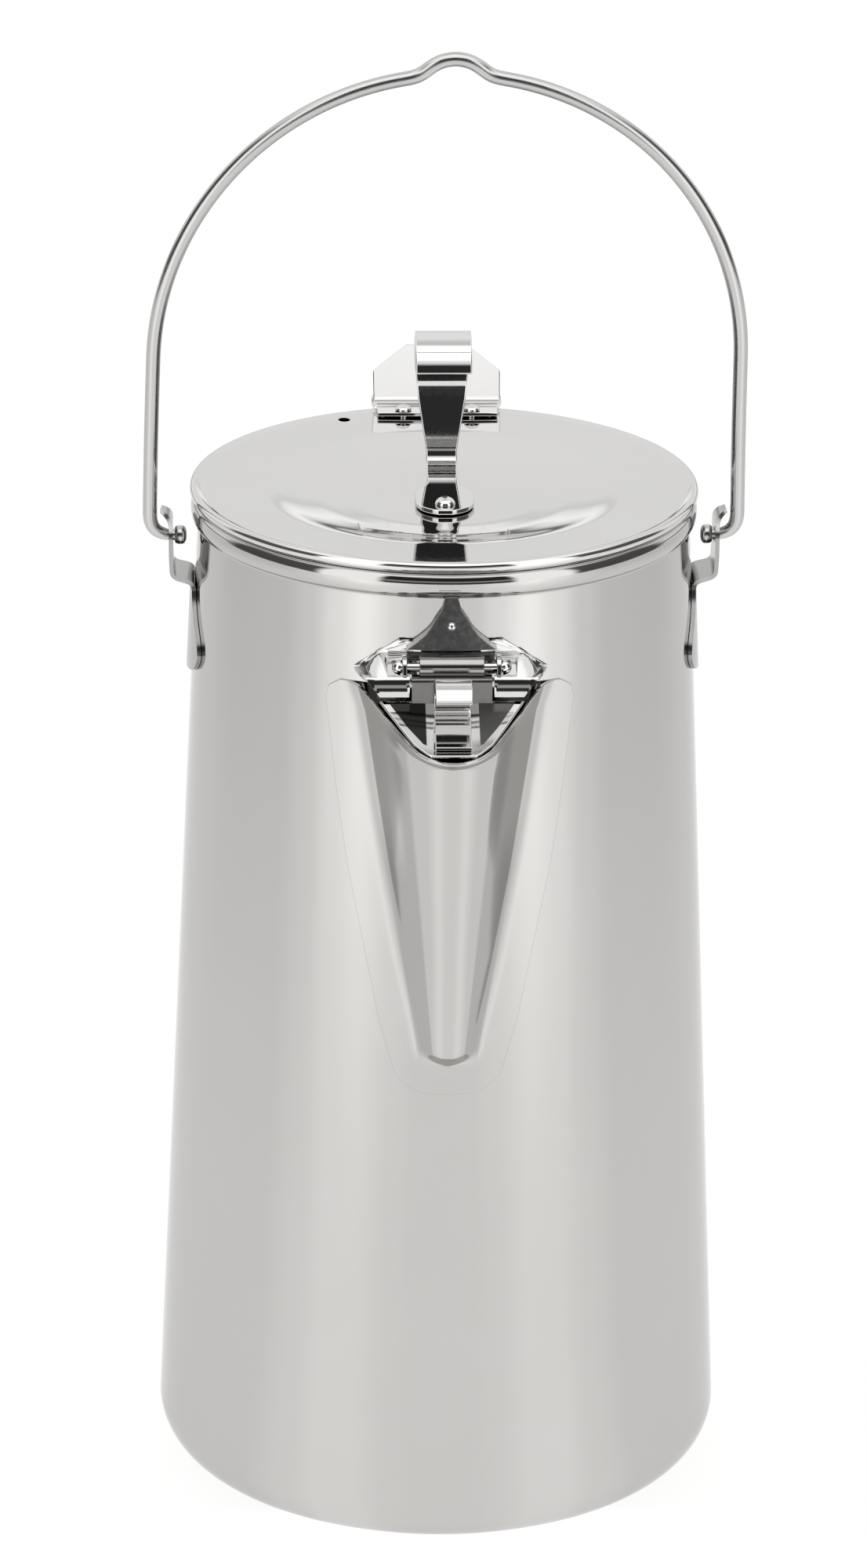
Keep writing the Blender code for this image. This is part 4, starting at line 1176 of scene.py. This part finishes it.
def el_ramp(nt, zsrc, stops, top=2.0):
    """Level against elevation in degrees; zsrc holds the sine of the elevation."""
    fac = math_node(nt, "MULTIPLY_ADD", zsrc, 0.5)
    fac.node.inputs[2].default_value = 0.5
    r = nt.nodes.new("ShaderNodeValToRGB")
    r.color_ramp.interpolation = "LINEAR"
    el = r.color_ramp.elements
    while len(el) > 1:
        el.remove(el[-1])
    for i, (deg, v) in enumerate(stops):
        pos = 0.5 + 0.5 * math.sin(math.radians(deg))
        e = el[0] if i == 0 else el.new(pos)
        e.position = pos
        e.color = (v / top, v / top, v / top, 1)
    nt.links.new(fac, r.inputs["Fac"])
    return r.outputs["Color"]


def studio_dome():
    """Tent around the table, seen only in the steel: dark opening on the spout's side with a tall
    soft light on either side of it, bright overhead, shaded sides and a pale back."""
    prof = [(0.0, -1.9)] + [(1.9 * math.cos(a), 1.9 * math.sin(a)) for a in (lerp(-1.5, 1.5, i / 30) for i in range(31))] + [(0.0, 1.9)]
    v, f = lathe(prof, 72)
    me = bpy.data.meshes.new("tent")
    me.from_pydata(v, [], f)
    ob = bpy.data.objects.new("tent", me)
    ob.location = (0.0, 0.0, 0.2)
    bpy.context.scene.collection.objects.link(ob)
    m = bpy.data.materials.new("tent_cloth")
    m.use_nodes = True
    nt = m.node_tree
    nt.nodes.remove(nt.nodes["Principled BSDF"])
    em = nt.nodes.new("ShaderNodeEmission")
    nt.links.new(em.outputs[0], nt.nodes["Material Output"].inputs["Surface"])
    tc = nt.nodes.new("ShaderNodeTexCoord")
    nrm = nt.nodes.new("ShaderNodeVectorMath")
    nrm.operation = "NORMALIZE"
    nt.links.new(tc.outputs["Object"], nrm.inputs[0])
    sep = nt.nodes.new("ShaderNodeSeparateXYZ")
    nt.links.new(nrm.outputs[0], sep.inputs[0])
    az = azimuth(nt, sep)
    z = sep.outputs["Z"]
    front = el_ramp(nt, z, TENT_FRONT)
    soft = el_ramp(nt, z, TENT_LIGHT)
    side = el_ramp(nt, z, TENT_SIDE)
    back = el_ramp(nt, z, TENT_BACK)
    c = mix_colour(nt, smooth_range(nt, az, 27 / 180, 32 / 180), front, soft)
    c = mix_colour(nt, smooth_range(nt, az, 55 / 180, 61 / 180), c, side)
    c = mix_colour(nt, smooth_range(nt, az, 104 / 180, 116 / 180), c, back)
    nt.links.new(c, em.inputs["Color"])
    em.inputs["Strength"].default_value = 2.0 * 0.95
    me.materials.append(m)
    ob.visible_camera = False
    ob.visible_diffuse = False
    ob.visible_shadow = False
    return ob


TENT_FRONT = ((-90, 0.03), (1.5, 0.03), (3.5, 0.40), (9, 0.40), (11, 0.03), (36, 0.03), (42, 1.0), (46, 1.0), (53, 1.7), (90, 1.7))
TENT_LIGHT = ((-90, 1.6), (45, 1.6), (53, 1.7), (90, 1.7))
TENT_SIDE = ((-90, 0.15), (-6, 0.15), (0, 0.10), (35, 0.12), (42, 0.9), (53, 1.4), (90, 1.5))
TENT_BACK = ((-90, 1.0), (-3, 1.0), (0, 0.9), (1.5, 0.2), (3, 0.2), (5, 1.0), (8, 1.39), (11, 1.2), (13, 0.92), (16, 1.06), (60, 1.06),
             (75, 0.75), (88, 0.75), (90, 1.5))


def studio_world():
    """Even white surround."""
    w = bpy.data.worlds.new("studio")
    bpy.context.scene.world = w
    w.use_nodes = True
    nt = w.node_tree
    bg = nt.nodes["Background"]
    bg.inputs["Color"].default_value = (0.95, 0.95, 0.95, 1)
    bg.inputs["Strength"].default_value = 1.0


floor_plane()
studio_dome()
studio_world()

# camera: the photograph's viewing angle
CAM_AZ = math.radians(1.85)      # the camera stands this much towards -X
CAM_D, CAM_H = 1.4572, 0.7019
CAM_PITCH = math.radians(20.60)
CAM_ROLL = math.radians(0.50)
CAM_SIDE = -0.0017


def camera():
    d = bpy.data.cameras.new("camera")
    d.sensor_fit = "AUTO"
    d.sensor_width = 36.0
    d.lens = 36.0 * 9177.8 / 2000.0
    d.clip_start = 0.05
    d.clip_end = 50.0
    ob = bpy.data.objects.new("camera", d)
    fwd_h = Vector((math.sin(CAM_AZ), math.cos(CAM_AZ), 0))
    right = Vector((math.cos(CAM_AZ), -math.sin(CAM_AZ), 0))
    loc = -fwd_h * CAM_D + Vector((0, 0, CAM_H)) + right * CAM_SIDE
    fwd = fwd_h * math.cos(CAM_PITCH) + Vector((0, 0, -math.sin(CAM_PITCH)))
    q = fwd.to_track_quat("-Z", "Y")
    ob.rotation_euler = (q.to_matrix() @ Matrix.Rotation(CAM_ROLL, 3, "Z")).to_euler()
    ob.location = loc
    bpy.context.scene.collection.objects.link(ob)
    bpy.context.scene.camera = ob
    return ob


camera()
bpy.context.scene.view_settings.view_transform = "Standard"
bpy.context.scene.view_settings.look = "None"
bpy.context.view_layer.update()
